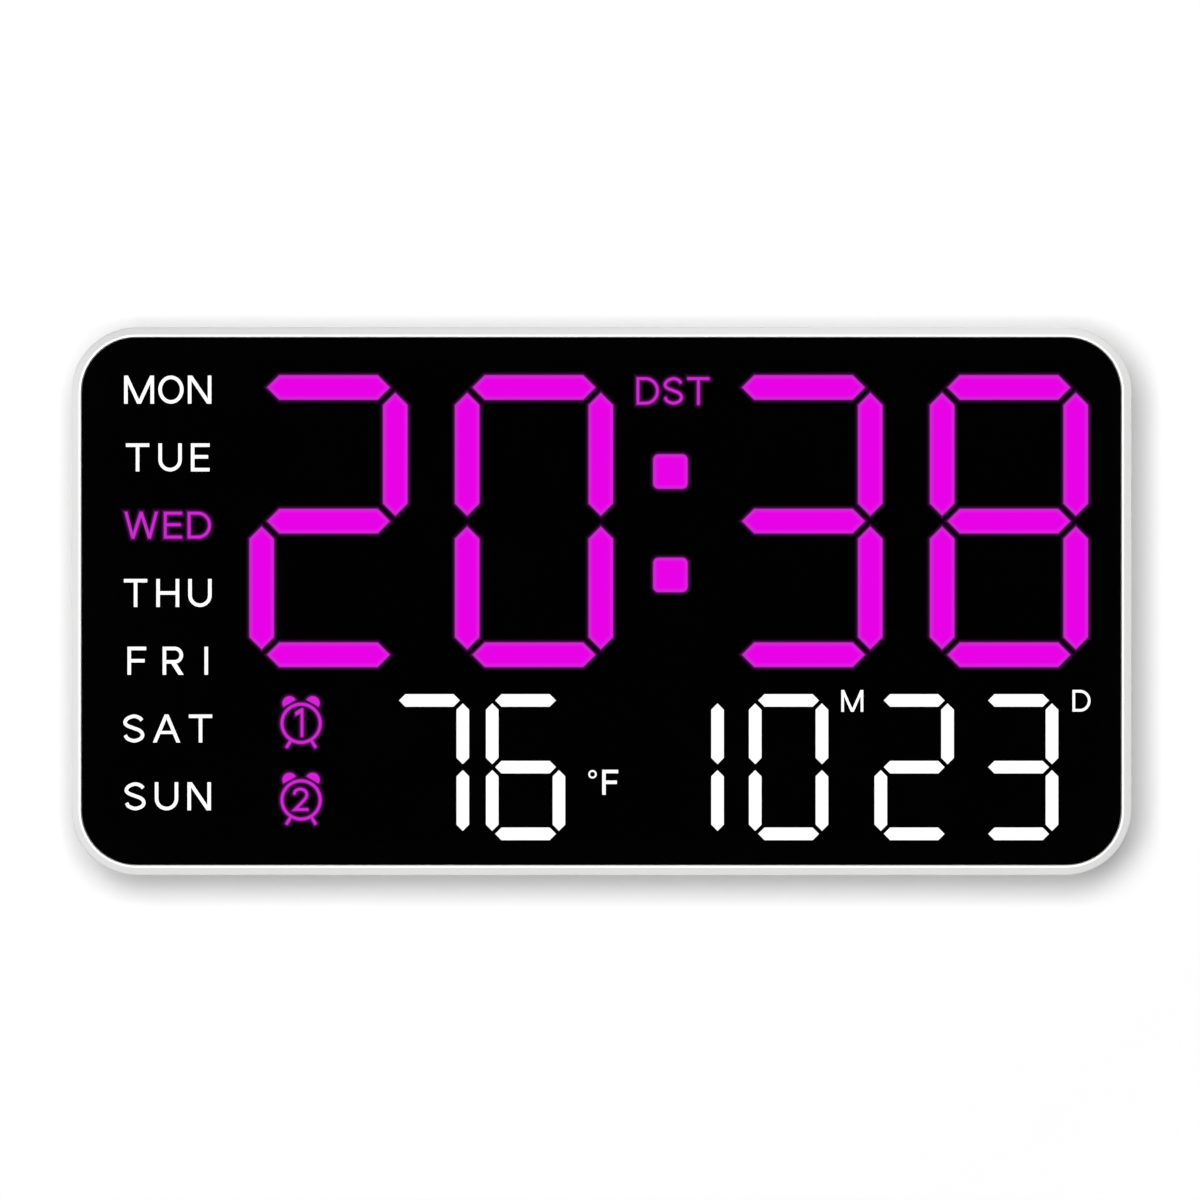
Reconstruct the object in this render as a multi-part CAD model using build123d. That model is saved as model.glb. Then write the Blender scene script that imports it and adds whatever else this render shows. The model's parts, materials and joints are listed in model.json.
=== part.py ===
from build123d import *
from itertools import product
from math import cos, hypot, radians, sin, sqrt
import os

# Digital wall clock, in millimetres. Every piece is drawn lying on its back: X runs across the face,
# Y runs up the face and Z comes out of the wall. The export stands it up, so that the face looks
# along -Y, the back lies in the plane Y = 0 and +Z is up, with the origin between the two hanging holes.

# Shared by all cuts
overrun = 1.0

# Tall digits of the time: one bar's length and width, and the gap between two pointed ends
time_bar_length = 29.0
time_bar_width = 6.2
time_bar_gap = 1.8
time_digit_gap = 10.76
colon_size = 8.54
colon_corner_radius = 1.5
colon_spacing = 24.4
colon_drop = 0.5
colon_gap_left = 9.06
colon_gap_right = 8.26

# Small digits of the temperature and the date
small_bar_length = 14.48
small_bar_width = 3.05
small_bar_gap = 0.9
temperature_digit_gap = 3.9
date_digit_gap = 5.85
month_day_gap = 10.85
unit_space = 18.65

# Words and symbols: the box that each one fills, and the light window's margin round it
weekday_width = 21.0
legend_height = 6.63
weekday_pitch = 16.0
weekdays = ("MON", "TUE", "WED", "THU", "FRI", "SAT", "SUN")
today = "WED"
summer_time_width = 17.4
alarm_width = 10.0
alarm_height = 12.6
alarm_pitch = 18.1
alarm_rise = 1.7
unit_width = 7.1
unit_height = 5.9
unit_drop = 3.5
marker_width = 5.2
marker_height = 5.2
marker_gap = 3.1
legend_margin = 0.5
legend_corner_radius = 0.8

# Free margins of the face, from the lens edge to what is shown
weekday_left_margin = 9.9
weekday_top_margin = 9.05
weekday_bottom_margin = 12.9
weekday_gap = 8.54
time_right_margin = 7.64
time_top_margin = 8.75
row_gap = 6.17
small_bottom_margin = 5.82
marker_right_margin = 6.5
alarm_left_gap = 15.9
alarm_right_gap = 15.86

# Lens, tape and the frame round them
lens_thickness = 2.0
lens_corner_radius = 13.0
lens_edge_chamfer = 0.25
lens_clearance = 0.1
tape_thickness = 0.3
tape_inset = 0.1
rim_width = 2.19
rim_ridge = 0.44
rim_slope_drop = 1.0
rim_edge_round = 0.5
rim_stand = 0.2
shelf_width = 4.0
shelf_thickness = 2.0

# Light box behind the lens
mask_thickness = 0.5
reflector_depth = 9.0
reflector_clearance = 0.3
reflector_wall = 1.0
insert_thickness = 2.0
insert_clearance = 0.05
insert_ledge = 0.3
peg_radius = 1.0
peg_clearance = 0.1
peg_place_share = 0.5

# Circuit board and what sits on it
board_thickness = 1.6
board_clearance = 0.5
room_clearance = 1.1
time_led_size = 3.0
time_led_height = 0.8
small_led_size = 1.6
small_led_height = 0.6
time_led_place_shares = (-0.25, 0.25)
single_led_place_shares = (0.0,)
chip_length = 15.4
chip_width = 7.5
chip_height = 2.3
chip_lead_count = 12
chip_lead_pitch = 1.27
chip_lead_width = 0.42
chip_lead_reach = 1.4
chip_lead_thickness = 0.3
driver_chip_spacing = 60.0
crystal_radius = 1.0
crystal_length = 6.0
crystal_lead_radius = 0.15
crystal_lead_length = 3.0
crystal_gap = 4.0
capacitor_radius = 2.5
capacitor_height = 5.4
capacitor_base_height = 0.8
capacitor_pitch = 9.0
capacitor_count = 2
capacitor_jack_gap = 8.0
buzzer_radius = 6.0
buzzer_height = 6.0
buzzer_hole_radius = 1.0
buzzer_hole_depth = 2.0
probe_bead_radius = 1.2
probe_lead_radius = 0.25
probe_lead_pitch = 1.2
probe_reach = 5.0

# Power inlet in the bottom wall
jack_width = 6.5
jack_length = 11.0
jack_height = 6.4
jack_collar_radius = 2.9
jack_bore_radius = 1.85
jack_bore_depth = 9.0
jack_pin_radius = 0.65
jack_pin_recess = 1.5
jack_clearance = 0.2
jack_side_inset = 30.0

# Back-up cell
cell_radius = 10.0
cell_thickness = 3.2
cell_rim = 1.6
cell_rim_height = 0.4
cell_clearance = 0.15
holder_wall = 1.55
holder_floor = 0.6
holder_side_height = 2.4
holder_cut_width = 9.0

# Rear cover
rear_wall = 2.4
rear_edge_radius = 1.6
split_height = 3.4
seam_chamfer = 0.25
lip_height = 1.8
lip_thickness = 1.1
lip_clearance = 0.12
vent_count = 6
vent_width = 1.6
vent_length = 22.0
vent_pitch = 4.2
vent_side_inset = 37.0
vent_drop = 4.0

# Bosses and screws
boss_radius = 3.0
boss_sink = 0.5
boss_clearance = 0.4
screw_tip_gap = 0.6
post_radius = 4.0
post_top_gap = 1.6
case_screw_radius = 1.3
case_screw_length = 14.0
case_screw_head_radius = 2.5
case_screw_head_height = 1.8
case_screw_head_clearance = 0.4
case_screw_seat = 4.4
board_screw_radius = 1.1
board_screw_length = 7.0
board_screw_head_radius = 2.2
board_screw_head_height = 1.5
screw_hole_clearance = 0.05
board_hole_clearance = 0.3
cross_width_share = 0.28
cross_reach_share = 0.7
cross_depth_share = 0.55

# Wall hanging
keyhole_spacing = 150.0
keyhole_radius = 4.25
keyhole_slot_radius = 2.1
keyhole_slot_rise = 9.0
keyhole_top_inset = 26.5

# Push buttons on the back
button_names = ("set", "up", "down", "alarm", "mode")
button_radius = 4.0
button_clearance = 0.2
button_recess = 0.4
button_edge_chamfer = 0.3
button_flange = 1.2
button_flange_thickness = 1.0
button_flange_gap = 0.05
button_stem_radius = 1.6
button_travel = 0.4
button_stop_gap = 0.05
button_pitch = 13.0
button_dish = 1.2
button_dish_depth = 0.7
button_stand_gap = 9.0
switch_size = 6.0
switch_height = 3.5
switch_plunger_radius = 1.7
switch_plunger_height = 0.8

# Fold-out leg and its well
leg_width = 60.0
leg_length = 80.0
leg_thickness = 3.0
leg_recess = 0.4
leg_corner_radius = 4.0
leg_panel_inset = 6.0
leg_panel_depth = 0.8
leg_knuckle_radius = 2.1
leg_open_angle = 35.0
leg_stop_gap = 0.1
leg_scoop_width = 16.0
leg_scoop_depth = 3.4
leg_bottom_margin = 4.5
pin_radius = 1.25
pin_depth = 2.3
pin_clearance = 0.05
pin_seat = 1.3
pin_seat_clearance = 0.02
well_depth = 5.6
well_floor = 1.6
well_wall = 1.8
well_side_gap = 0.5

# Battery door and bay
bay_gap = 3.4
bay_wall = 1.6
bay_board_gap = 0.6
bay_side_inset = 45.0
bay_drop = 20.0
door_gap = 0.3
door_recess = 0.2
door_thickness = 2.0
door_ledge = 1.6
door_ledge_thickness = 1.6
door_screw_zone = 6.0
door_trunnion_radius = 0.7
door_trunnion_length = 1.2
door_trunnion_clearance = 0.05
door_screw_radius = 1.0
door_screw_length = 4.0
door_screw_head_radius = 1.9
door_screw_head_height = 1.0
door_screw_inset = 4.2
door_screw_boss_radius = 2.8
door_screw_boss_height = 4.2
door_screw_hole_clearance = 0.4
door_grip_count = 3
door_grip_width = 0.9
door_grip_depth = 0.5
door_grip_pitch = 2.2
door_grip_length = 12.0

# Sizes that follow from the ones above, across the face
time_reach = time_bar_length / 2 + time_bar_gap / sqrt(2)
time_digit_width = 2 * time_reach + time_bar_width
time_digit_height = 4 * time_reach + time_bar_width
small_reach = small_bar_length / 2 + small_bar_gap / sqrt(2)
small_digit_width = 2 * small_reach + small_bar_width
small_digit_height = 4 * small_reach + small_bar_width
time_row_width = (weekday_left_margin + weekday_width + weekday_gap + 4 * time_digit_width + 2 * time_digit_gap
                  + colon_gap_left + colon_size + colon_gap_right + time_right_margin)
small_right_space = marker_gap + marker_width + marker_right_margin
small_row_width = (weekday_left_margin + weekday_width + alarm_left_gap + alarm_width + alarm_right_gap
                   + 6 * small_digit_width + temperature_digit_gap + unit_space + 2 * date_digit_gap
                   + month_day_gap + small_right_space)
lens_width = max(time_row_width, small_row_width)
digit_rows_height = time_top_margin + time_digit_height + row_gap + small_digit_height + small_bottom_margin
weekday_rows_height = (weekday_top_margin + (len(weekdays) - 1) * weekday_pitch + legend_height
                       + weekday_bottom_margin)
lens_height = max(digit_rows_height, weekday_rows_height)
lens_left = -lens_width / 2
lens_right = lens_width / 2
lens_top = lens_height / 2
lens_bottom = -lens_height / 2
pocket_width = lens_width + 2 * lens_clearance
pocket_height = lens_height + 2 * lens_clearance
pocket_radius = lens_corner_radius + lens_clearance
case_width = pocket_width + 2 * rim_width
case_height = pocket_height + 2 * rim_width
case_radius = pocket_radius + rim_width
window_width = lens_width - 2 * shelf_width
window_height = lens_height - 2 * shelf_width
window_radius = lens_corner_radius - shelf_width
reflector_width = window_width - 2 * reflector_clearance
reflector_height = window_height - 2 * reflector_clearance
reflector_radius = window_radius - reflector_clearance

# Sizes that follow, from the wall to the lens
well_inside = well_depth + well_floor
holder_height = holder_floor + holder_side_height
tallest_part = max(well_inside - rear_wall + chip_height, jack_height, buzzer_height, capacitor_height,
                   holder_height)
board_low = rear_wall + tallest_part + room_clearance
board_high = board_low + board_thickness
reflector_high = board_high + reflector_depth
mask_high = reflector_high + mask_thickness
shelf_high = mask_high
shelf_low = shelf_high - shelf_thickness
lens_low = shelf_high + tape_thickness
lens_high = lens_low + lens_thickness
case_depth = lens_high + rim_stand
insert_low = reflector_high - insert_thickness
post_high = board_low - post_top_gap
lip_high = split_height + lip_height

# Places on the face
time_centre_y = lens_top - time_top_margin - time_digit_height / 2
small_centre_y = lens_bottom + small_bottom_margin + small_digit_height / 2
hours_tens_x = lens_left + weekday_left_margin + weekday_width + weekday_gap + time_digit_width / 2
hours_ones_x = hours_tens_x + time_digit_width + time_digit_gap
colon_x = hours_ones_x + time_digit_width / 2 + colon_gap_left + colon_size / 2
minutes_tens_x = colon_x + colon_size / 2 + colon_gap_right + time_digit_width / 2
minutes_ones_x = minutes_tens_x + time_digit_width + time_digit_gap
day_ones_x = lens_right - small_right_space - small_digit_width / 2
day_tens_x = day_ones_x - small_digit_width - date_digit_gap
month_ones_x = day_tens_x - small_digit_width - month_day_gap
month_tens_x = month_ones_x - small_digit_width - date_digit_gap
degrees_ones_x = month_tens_x - small_digit_width - unit_space
degrees_tens_x = degrees_ones_x - small_digit_width - temperature_digit_gap
weekday_x = lens_left + weekday_left_margin + weekday_width / 2
weekday_first_y = lens_top - weekday_top_margin - legend_height / 2
alarm_x = lens_left + weekday_left_margin + weekday_width + alarm_left_gap + alarm_width / 2
unit_x = (degrees_ones_x + month_tens_x) / 2
marker_y = small_centre_y + small_digit_height / 2 - marker_height / 2
month_marker_x = month_ones_x + small_digit_width / 2 + marker_gap + marker_width / 2
day_marker_x = day_ones_x + small_digit_width / 2 + marker_gap + marker_width / 2
summer_time_y = time_centre_y + time_digit_height / 2 - legend_height / 2

# Places on the back
corner_step = (pocket_radius - boss_radius + boss_sink) / sqrt(2)
corner_boss_x = pocket_width / 2 - pocket_radius + corner_step
corner_boss_y = pocket_height / 2 - pocket_radius + corner_step
side_boss_x = pocket_width / 2 - boss_radius + boss_sink
side_boss_y = pocket_height / 2 - boss_radius + boss_sink
leg_low_y = -case_height / 2 + leg_bottom_margin
hinge_y = leg_low_y + leg_length
leg_inner_offset = leg_recess + leg_thickness - pin_depth
leg_outer_offset = pin_depth - leg_recess
leg_stop_reach = well_depth - pin_depth - leg_stop_gap
heel_length = ((leg_stop_reach - leg_inner_offset * cos(radians(leg_open_angle)))
               / sin(radians(leg_open_angle)))
well_width = leg_width + 2 * well_side_gap
well_low_y = leg_low_y - well_side_gap
well_high_y = hinge_y + hypot(heel_length, leg_outer_offset) + well_side_gap
button_x = well_width / 2 + well_wall + button_stand_gap + button_radius
button_top_y = (len(button_names) - 1) * button_pitch / 2
keyhole_y = case_height / 2 - keyhole_top_inset
vent_x = case_width / 2 - vent_side_inset
jack_x = case_width / 2 - jack_side_inset
jack_axis = board_low - jack_height / 2
jack_mouth_y = -pocket_height / 2 + jack_clearance
holder_size = 2 * (cell_radius + cell_clearance + holder_wall)
bay_width = holder_size + 2 * bay_gap
bay_height = bay_width + door_screw_zone
bay_x = -case_width / 2 + bay_side_inset
bay_y = -bay_drop
bay_low_y = bay_y - bay_height / 2
bay_high_y = bay_y + bay_height / 2
holder_y = bay_high_y - bay_gap - holder_size / 2
door_width = bay_width - 2 * door_gap
door_axis_y = bay_high_y - door_gap - door_thickness / 2
door_axis_depth = door_recess + door_thickness / 2
door_screw_y = bay_low_y + door_screw_inset

corner_signs = list(product((-1, 1), repeat=2))
side_boss_places = [(side_boss_x, 0), (-side_boss_x, 0), (0, side_boss_y), (0, -side_boss_y)]
corner_boss_places = [(sx * corner_boss_x, sy * corner_boss_y) for sx, sy in corner_signs]
peg_x = peg_place_share * reflector_width / 2
peg_y = time_centre_y - time_digit_height / 2 - row_gap / 2
peg_places = [(-peg_x, peg_y), (peg_x, peg_y)]

# One bar of a digit: its place in units of the reach, and its turn
bar_place_shares = {
    "a": (0, 2, 0), "b": (1, 1, 90), "c": (1, -1, 90), "d": (0, -2, 0),
    "e": (-1, -1, 90), "f": (-1, 1, 90), "g": (0, 0, 0),
}
digit_bars = {"0": "abcdef", "1": "bc", "2": "abged", "3": "abgcd", "6": "afgecd", "7": "abc", "8": "abcdefg"}
time_digits = [("2", hours_tens_x), ("0", hours_ones_x), ("3", minutes_tens_x), ("8", minutes_ones_x)]
temperature_digits = [("7", degrees_tens_x), ("6", degrees_ones_x)]
date_digits = [("1", month_tens_x), ("0", month_ones_x), ("2", day_tens_x), ("3", day_ones_x)]
time_bar = (time_bar_length, time_bar_width)
small_bar = (small_bar_length, small_bar_width)


def block(sketch, low, high):
    """Solid of one outline between two depths."""
    return Pos(0, 0, low) * extrude(sketch, high - low)


def bar_outline(size, inset):
    """Bar of a digit with two square points, drawn in by the inset all round."""
    length, width = size
    half = length / 2 - inset * sqrt(2)
    tip = width / 2 - inset
    lower = [(-half, 0), (tip - half, -tip), (half - tip, -tip)]
    upper = [(half, 0), (half - tip, tip), (tip - half, tip)]
    return Polygon(*lower, *upper, align=None)


def pane_outline(size, inset):
    """Rounded window of a word, a symbol or a colon dot, drawn in by the inset all round."""
    width, height, radius = size
    return RectangleRounded(width - 2 * inset, height - 2 * inset, radius - inset)


def digit_windows(digits, bar, reach, centre_y, lit):
    """Windows of the lit or of the unlit bars in a row of digits."""
    windows = []
    for figure, centre_x in digits:
        for name, (across, up, turn) in bar_place_shares.items():
            if (name in digit_bars[figure]) == lit:
                place = Location((centre_x + across * reach, centre_y + up * reach, 0), (0, 0, turn))
                windows.append((bar_outline, bar, place))
    return windows


def pane(width, height, x, y, radius=legend_corner_radius, margin=legend_margin):
    """Window behind a word or symbol that fills the given box."""
    return pane_outline, (width + 2 * margin, height + 2 * margin, radius), Pos(x, y)


weekday_panes = {day: pane(weekday_width, legend_height, weekday_x, weekday_first_y - row * weekday_pitch)
                 for row, day in enumerate(weekdays)}
unit_panes = [
    pane(unit_width, unit_height, unit_x, small_centre_y - unit_drop),
    pane(marker_width, marker_height, month_marker_x, marker_y),
    pane(marker_width, marker_height, day_marker_x, marker_y),
]
alarm_panes = [pane(alarm_width, alarm_height, alarm_x, small_centre_y + alarm_rise + side * alarm_pitch / 2)
               for side in (1, -1)]
summer_time_pane = pane(summer_time_width, legend_height, colon_x, summer_time_y)
colon_panes = [pane(colon_size, colon_size, colon_x, time_centre_y - colon_drop + side * colon_spacing / 2,
                    colon_corner_radius, 0) for side in (1, -1)]
windows = {
    "time_segments_lit": digit_windows(time_digits, time_bar, time_reach, time_centre_y, True),
    "time_segments_dark": digit_windows(time_digits, time_bar, time_reach, time_centre_y, False),
    "colon_dots": colon_panes,
    "temperature_segments_lit": digit_windows(temperature_digits, small_bar, small_reach,
                                              small_centre_y, True),
    "temperature_segments_dark": digit_windows(temperature_digits, small_bar, small_reach,
                                               small_centre_y, False),
    "date_segments_lit": digit_windows(date_digits, small_bar, small_reach, small_centre_y, True),
    "date_segments_dark": digit_windows(date_digits, small_bar, small_reach, small_centre_y, False),
    "legend_windows_white": [weekday_panes[day] for day in weekdays if day != today] + unit_panes,
    "legend_windows_colour": [weekday_panes[today], summer_time_pane] + alarm_panes,
}
shown_through_mask = [window for name in windows if not name.startswith("legend") for window in windows[name]]
all_windows = [window for group in windows.values() for window in group]


def outlines(group, inset):
    """Placed outlines of a group of windows."""
    return [place * outline(size, inset) for outline, size, place in group]


def along_y(radius, x, y, depth, length):
    """Round bar along Y that starts at y and runs up the face."""
    return Location((x, y, depth), (-90, 0, 0)) * extrude(Circle(radius), length)


def along_x(radius, x, y, depth, length):
    """Round bar along X, centred on x."""
    return Location((x - length / 2, y, depth), (0, 90, 0)) * extrude(Circle(radius), length)


def round_bars(places, radius, low, high):
    """Upright round bars at a list of places."""
    return [Pos(x, y) * block(Circle(radius), low, high) for x, y in places]


def screw(shank_radius, length, head_radius, head_height):
    """Cross-head screw with its head's seat at zero, its head towards the wall and its shank away from it."""
    body = block(Circle(head_radius), -head_height, 0) + block(Circle(shank_radius), 0, length)
    body = fillet(body.faces().sort_by(Axis.Z)[0].edges(), head_height / 3)
    reach = 2 * head_radius * cross_reach_share
    width = head_radius * cross_width_share
    cross = Rectangle(reach, width) + Rectangle(width, reach)
    return body - block(cross, -head_height - overrun, -head_height * (1 - cross_depth_share))


def front_frame():
    """Case front: sloped rim, lens pocket, shelf behind the lens, bosses and the power inlet's hole."""
    shell = block(RectangleRounded(case_width, case_height, case_radius), split_height, case_depth)
    face = shell.faces().sort_by(Axis.Z)[-1]
    shell = chamfer(face.edges(), rim_width - rim_ridge, rim_slope_drop, reference=face)
    shell = fillet(shell.edges().group_by(Axis.Z)[-3], rim_edge_round)
    shell = chamfer(shell.edges().group_by(Axis.Z)[0], seam_chamfer)
    pocket = RectangleRounded(pocket_width, pocket_height, pocket_radius)
    shell -= block(pocket, shelf_high, case_depth + overrun)
    shell -= block(pocket, split_height - overrun, shelf_low)
    window = RectangleRounded(window_width, window_height, window_radius)
    shell -= block(window, shelf_low - overrun, shelf_high + overrun)
    shell += round_bars(corner_boss_places, boss_radius, post_high, shelf_low)
    shell += round_bars(side_boss_places, boss_radius, board_high, shelf_low)
    shell -= round_bars(corner_boss_places, case_screw_radius + screw_hole_clearance,
                        post_high - overrun, case_screw_seat + case_screw_length + screw_tip_gap)
    shell -= round_bars(side_boss_places, board_screw_radius + screw_hole_clearance,
                        board_high - overrun, board_low + board_screw_length + screw_tip_gap)
    wall = rim_width + lens_clearance + 2 * overrun
    shell -= along_y(jack_collar_radius + jack_clearance, jack_x, -case_height / 2 - overrun, jack_axis, wall)
    return shell


def front_lens():
    """Smoked panel that fills the rim."""
    panel = block(RectangleRounded(lens_width, lens_height, lens_corner_radius), lens_low, lens_high)
    return chamfer(panel.edges().group_by(Axis.Z)[-1], lens_edge_chamfer)


def lens_tape():
    """Adhesive ring between the shelf and the lens."""
    outer = RectangleRounded(lens_width - 2 * tape_inset, lens_height - 2 * tape_inset,
                             lens_corner_radius - tape_inset)
    inner = RectangleRounded(window_width + 2 * tape_inset, window_height + 2 * tape_inset,
                             window_radius + tape_inset)
    return block(outer - inner, shelf_high, lens_low)


def display_mask():
    """Black film over the light box, open at every bar and colon dot."""
    sheet = RectangleRounded(reflector_width, reflector_height, reflector_radius)
    return block(sheet - outlines(shown_through_mask, 0), reflector_high, mask_high)


def reflector_outline(inset):
    """Outline of the light box round the case bosses, drawn in by the inset all round."""
    notch = Circle(boss_radius + boss_clearance + inset)
    notches = [Pos(x, y) * notch for x, y in corner_boss_places + side_boss_places]
    return RectangleRounded(reflector_width - 2 * inset, reflector_height - 2 * inset,
                            reflector_radius - inset) - notches


def segment_reflector():
    """Light box: front plate, rim, a thin stepped well for every window, and two pegs that find the board."""
    slab = reflector_outline(0)
    walls = slab - reflector_outline(reflector_wall) + outlines(all_windows, -reflector_wall)
    walls += [Pos(x, y) * Circle(peg_radius + reflector_wall) for x, y in peg_places]
    funnels = block((walls & slab) - outlines(all_windows, insert_ledge), board_high, insert_low)
    seats = block(slab - outlines(all_windows, 0), insert_low, reflector_high)
    pegs = round_bars(peg_places, peg_radius, board_low, board_high)
    return funnels + [seats, *pegs]


def inserts(group):
    """Diffuser inserts that stand on the ledges of their wells."""
    return Compound([block(outline, insert_low, reflector_high)
                     for outline in outlines(group, insert_clearance)])


def display_board():
    """Circuit board, notched round the case bosses and drilled for its screws and the pegs."""
    outline = RectangleRounded(pocket_width - 2 * board_clearance, pocket_height - 2 * board_clearance,
                               pocket_radius - board_clearance)
    board = block(outline, board_low, board_high)
    board -= round_bars(corner_boss_places, boss_radius + boss_clearance,
                        board_low - overrun, board_high + overrun)
    board -= round_bars(side_boss_places, board_screw_radius + board_hole_clearance,
                        board_low - overrun, board_high + overrun)
    return board - round_bars(peg_places, peg_radius + peg_clearance,
                              board_low - overrun, board_high + overrun)


def segment_leds():
    """Light-emitting chips on the board, two under each tall bar and one under every other window."""
    lamps = []
    for outline, size, place in all_windows:
        tall_bar = size == time_bar
        side = time_led_size if tall_bar else small_led_size
        height = time_led_height if tall_bar else small_led_height
        lamp = block(Rectangle(side, side), board_high, board_high + height)
        shares = time_led_place_shares if tall_bar else single_led_place_shares
        lamps += [place * Pos(share * size[0], 0) * lamp for share in shares]
    return Compound(lamps)


def chip(x, y):
    """Flat chip on the back of the board with a row of leads on two sides."""
    body = block(Rectangle(chip_length, chip_width), board_low - chip_height, board_low - chip_lead_thickness)
    lead = Rectangle(chip_lead_width, chip_width + 2 * chip_lead_reach)
    row = block(lead, board_low - 2 * chip_lead_thickness, board_low)
    first = -(chip_lead_count - 1) * chip_lead_pitch / 2
    return Pos(x, y) * (body + [Pos(first + step * chip_lead_pitch) * row for step in range(chip_lead_count)])


def driver_chips():
    """Two chips that switch the rows and columns of the display."""
    return Compound([chip(0, side * driver_chip_spacing / 2) for side in (-1, 1)])


def timing_crystal():
    """Crystal can lying on the board with two leads towards the clock chip."""
    low_y = chip_width / 2 + chip_lead_reach + crystal_gap
    depth = board_low - crystal_radius
    can = along_y(crystal_radius, 0, low_y, depth, crystal_length)
    leads = [along_y(crystal_lead_radius, side * crystal_radius / 2, low_y - crystal_lead_length, depth,
                     crystal_lead_length + overrun) for side in (-1, 1)]
    return can + leads


def capacitors():
    """Round capacitors on square feet beside the power inlet."""
    cans = []
    for step in range(capacitor_count):
        x = jack_x - jack_width / 2 - capacitor_jack_gap - step * capacitor_pitch
        y = jack_mouth_y + jack_length
        foot = Rectangle(2 * capacitor_radius, 2 * capacitor_radius)
        base = block(foot, board_low - capacitor_base_height, board_low)
        can = block(Circle(capacitor_radius), board_low - capacitor_height, board_low - capacitor_base_height)
        cans.append(Pos(x, y) * (base + can))
    return Compound(cans)


def buzzer():
    """Alarm sounder with its sound hole towards the back."""
    can = block(Circle(buzzer_radius), board_low - buzzer_height, board_low)
    can -= block(Circle(buzzer_hole_radius), board_low - buzzer_height - overrun,
                 board_low - buzzer_height + buzzer_hole_depth)
    return Pos(vent_x, -vent_drop) * can


def temperature_probe():
    """Thermistor bead that reaches from the board towards the vents on two leads."""
    x = vent_x - buzzer_radius - 2 * probe_lead_pitch
    bead = Pos(0, 0, board_low - probe_reach) * Sphere(probe_bead_radius)
    leads = round_bars([(-probe_lead_pitch / 2, 0), (probe_lead_pitch / 2, 0)], probe_lead_radius,
                       board_low - probe_reach, board_low)
    return Pos(x, -vent_drop) * (bead + leads)


def power_jack():
    """Round power inlet on the board with a collar in the bottom wall's hole and a centre pin."""
    collar_length = rim_width - jack_clearance
    body = block(Rectangle(jack_width, jack_length), board_low - jack_height, board_low)
    body = Pos(jack_x, jack_mouth_y + jack_length / 2) * body
    body += along_y(jack_collar_radius, jack_x, jack_mouth_y - collar_length, jack_axis,
                    collar_length + overrun)
    body -= along_y(jack_bore_radius, jack_x, jack_mouth_y - collar_length - overrun, jack_axis,
                    jack_bore_depth + overrun)
    pin_start = jack_mouth_y - collar_length + jack_pin_recess
    return body + along_y(jack_pin_radius, jack_x, pin_start, jack_axis, jack_bore_depth)


def cell_holder():
    """Open tray on the board that grips the back-up cell, with two cuts to lift it out."""
    tray = block(RectangleRounded(holder_size, holder_size, holder_wall), board_low - holder_height, board_low)
    tray -= block(Circle(cell_radius + cell_clearance), board_low - holder_height - overrun,
                  board_low - holder_floor)
    tray -= block(Rectangle(holder_size + overrun, holder_cut_width), board_low - holder_height - overrun,
                  board_low - holder_floor)
    return Pos(bay_x, holder_y) * tray


def coin_cell():
    """Round back-up cell with a stepped rim."""
    seat = board_low - holder_floor
    cell = block(Circle(cell_radius - cell_rim), seat - cell_rim_height, seat)
    cell += block(Circle(cell_radius), seat - cell_thickness, seat - cell_rim_height)
    return Pos(bay_x, holder_y) * cell


def button_places():
    """Middle of each push button, from the top one down."""
    return [(button_x, button_top_y - step * button_pitch) for step in range(len(button_names))]


def button_switches():
    """Tact switches on the board behind the push buttons."""
    low = board_low - switch_height
    switch = block(Rectangle(switch_size, switch_size), low, board_low)
    switch += block(Circle(switch_plunger_radius), low - switch_plunger_height, low)
    return Compound([Pos(x, y) * switch for x, y in button_places()])


def push_button():
    """Round button with a flange behind the rear wall and a stem that reaches to its switch."""
    flange_low = rear_wall + button_flange_gap
    stem_high = board_low - switch_height - switch_plunger_height - button_travel - button_stop_gap
    cap = block(Circle(button_radius), button_recess, flange_low)
    cap = chamfer(cap.edges().group_by(Axis.Z)[0], button_edge_chamfer)
    cap += block(Circle(button_radius + button_flange), flange_low, flange_low + button_flange_thickness)
    return cap + block(Circle(button_stem_radius), flange_low, stem_high)


def rear_cover():
    """Back of the case: lip, screw posts, keyholes, vents, button holes, leg well and battery bay."""
    shell = block(RectangleRounded(case_width, case_height, case_radius), 0, split_height)
    shell = fillet(shell.edges().group_by(Axis.Z)[0], rear_edge_radius)
    shell = chamfer(shell.edges().group_by(Axis.Z)[-1], seam_chamfer)
    inset = lip_clearance + lip_thickness
    inside = RectangleRounded(pocket_width - 2 * inset, pocket_height - 2 * inset, pocket_radius - inset)
    lip = RectangleRounded(pocket_width - 2 * lip_clearance, pocket_height - 2 * lip_clearance,
                           pocket_radius - lip_clearance)
    shell += block(lip, rear_wall, lip_high)
    shell -= block(inside, rear_wall, lip_high + overrun)
    shell -= Pos(jack_x, jack_mouth_y) * block(Rectangle(jack_width + 2 * jack_clearance, 2 * jack_length),
                                               split_height, lip_high + overrun)
    posts = round_bars(corner_boss_places, post_radius, rear_wall, post_high)
    shell += [post & block(lip, rear_wall, post_high) for post in posts]
    shell += well_shell()
    shell += bay_shell()
    shell -= screw_holes() + keyholes() + vents() + button_holes()
    shell -= well_space()
    shell -= bay_space()
    return shell


def screw_holes():
    """Stepped holes of the case screws."""
    heads = round_bars(corner_boss_places, case_screw_head_radius + case_screw_head_clearance,
                       -overrun, case_screw_seat)
    shanks = round_bars(corner_boss_places, case_screw_radius + screw_hole_clearance, 0, post_high + overrun)
    return heads + shanks


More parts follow.
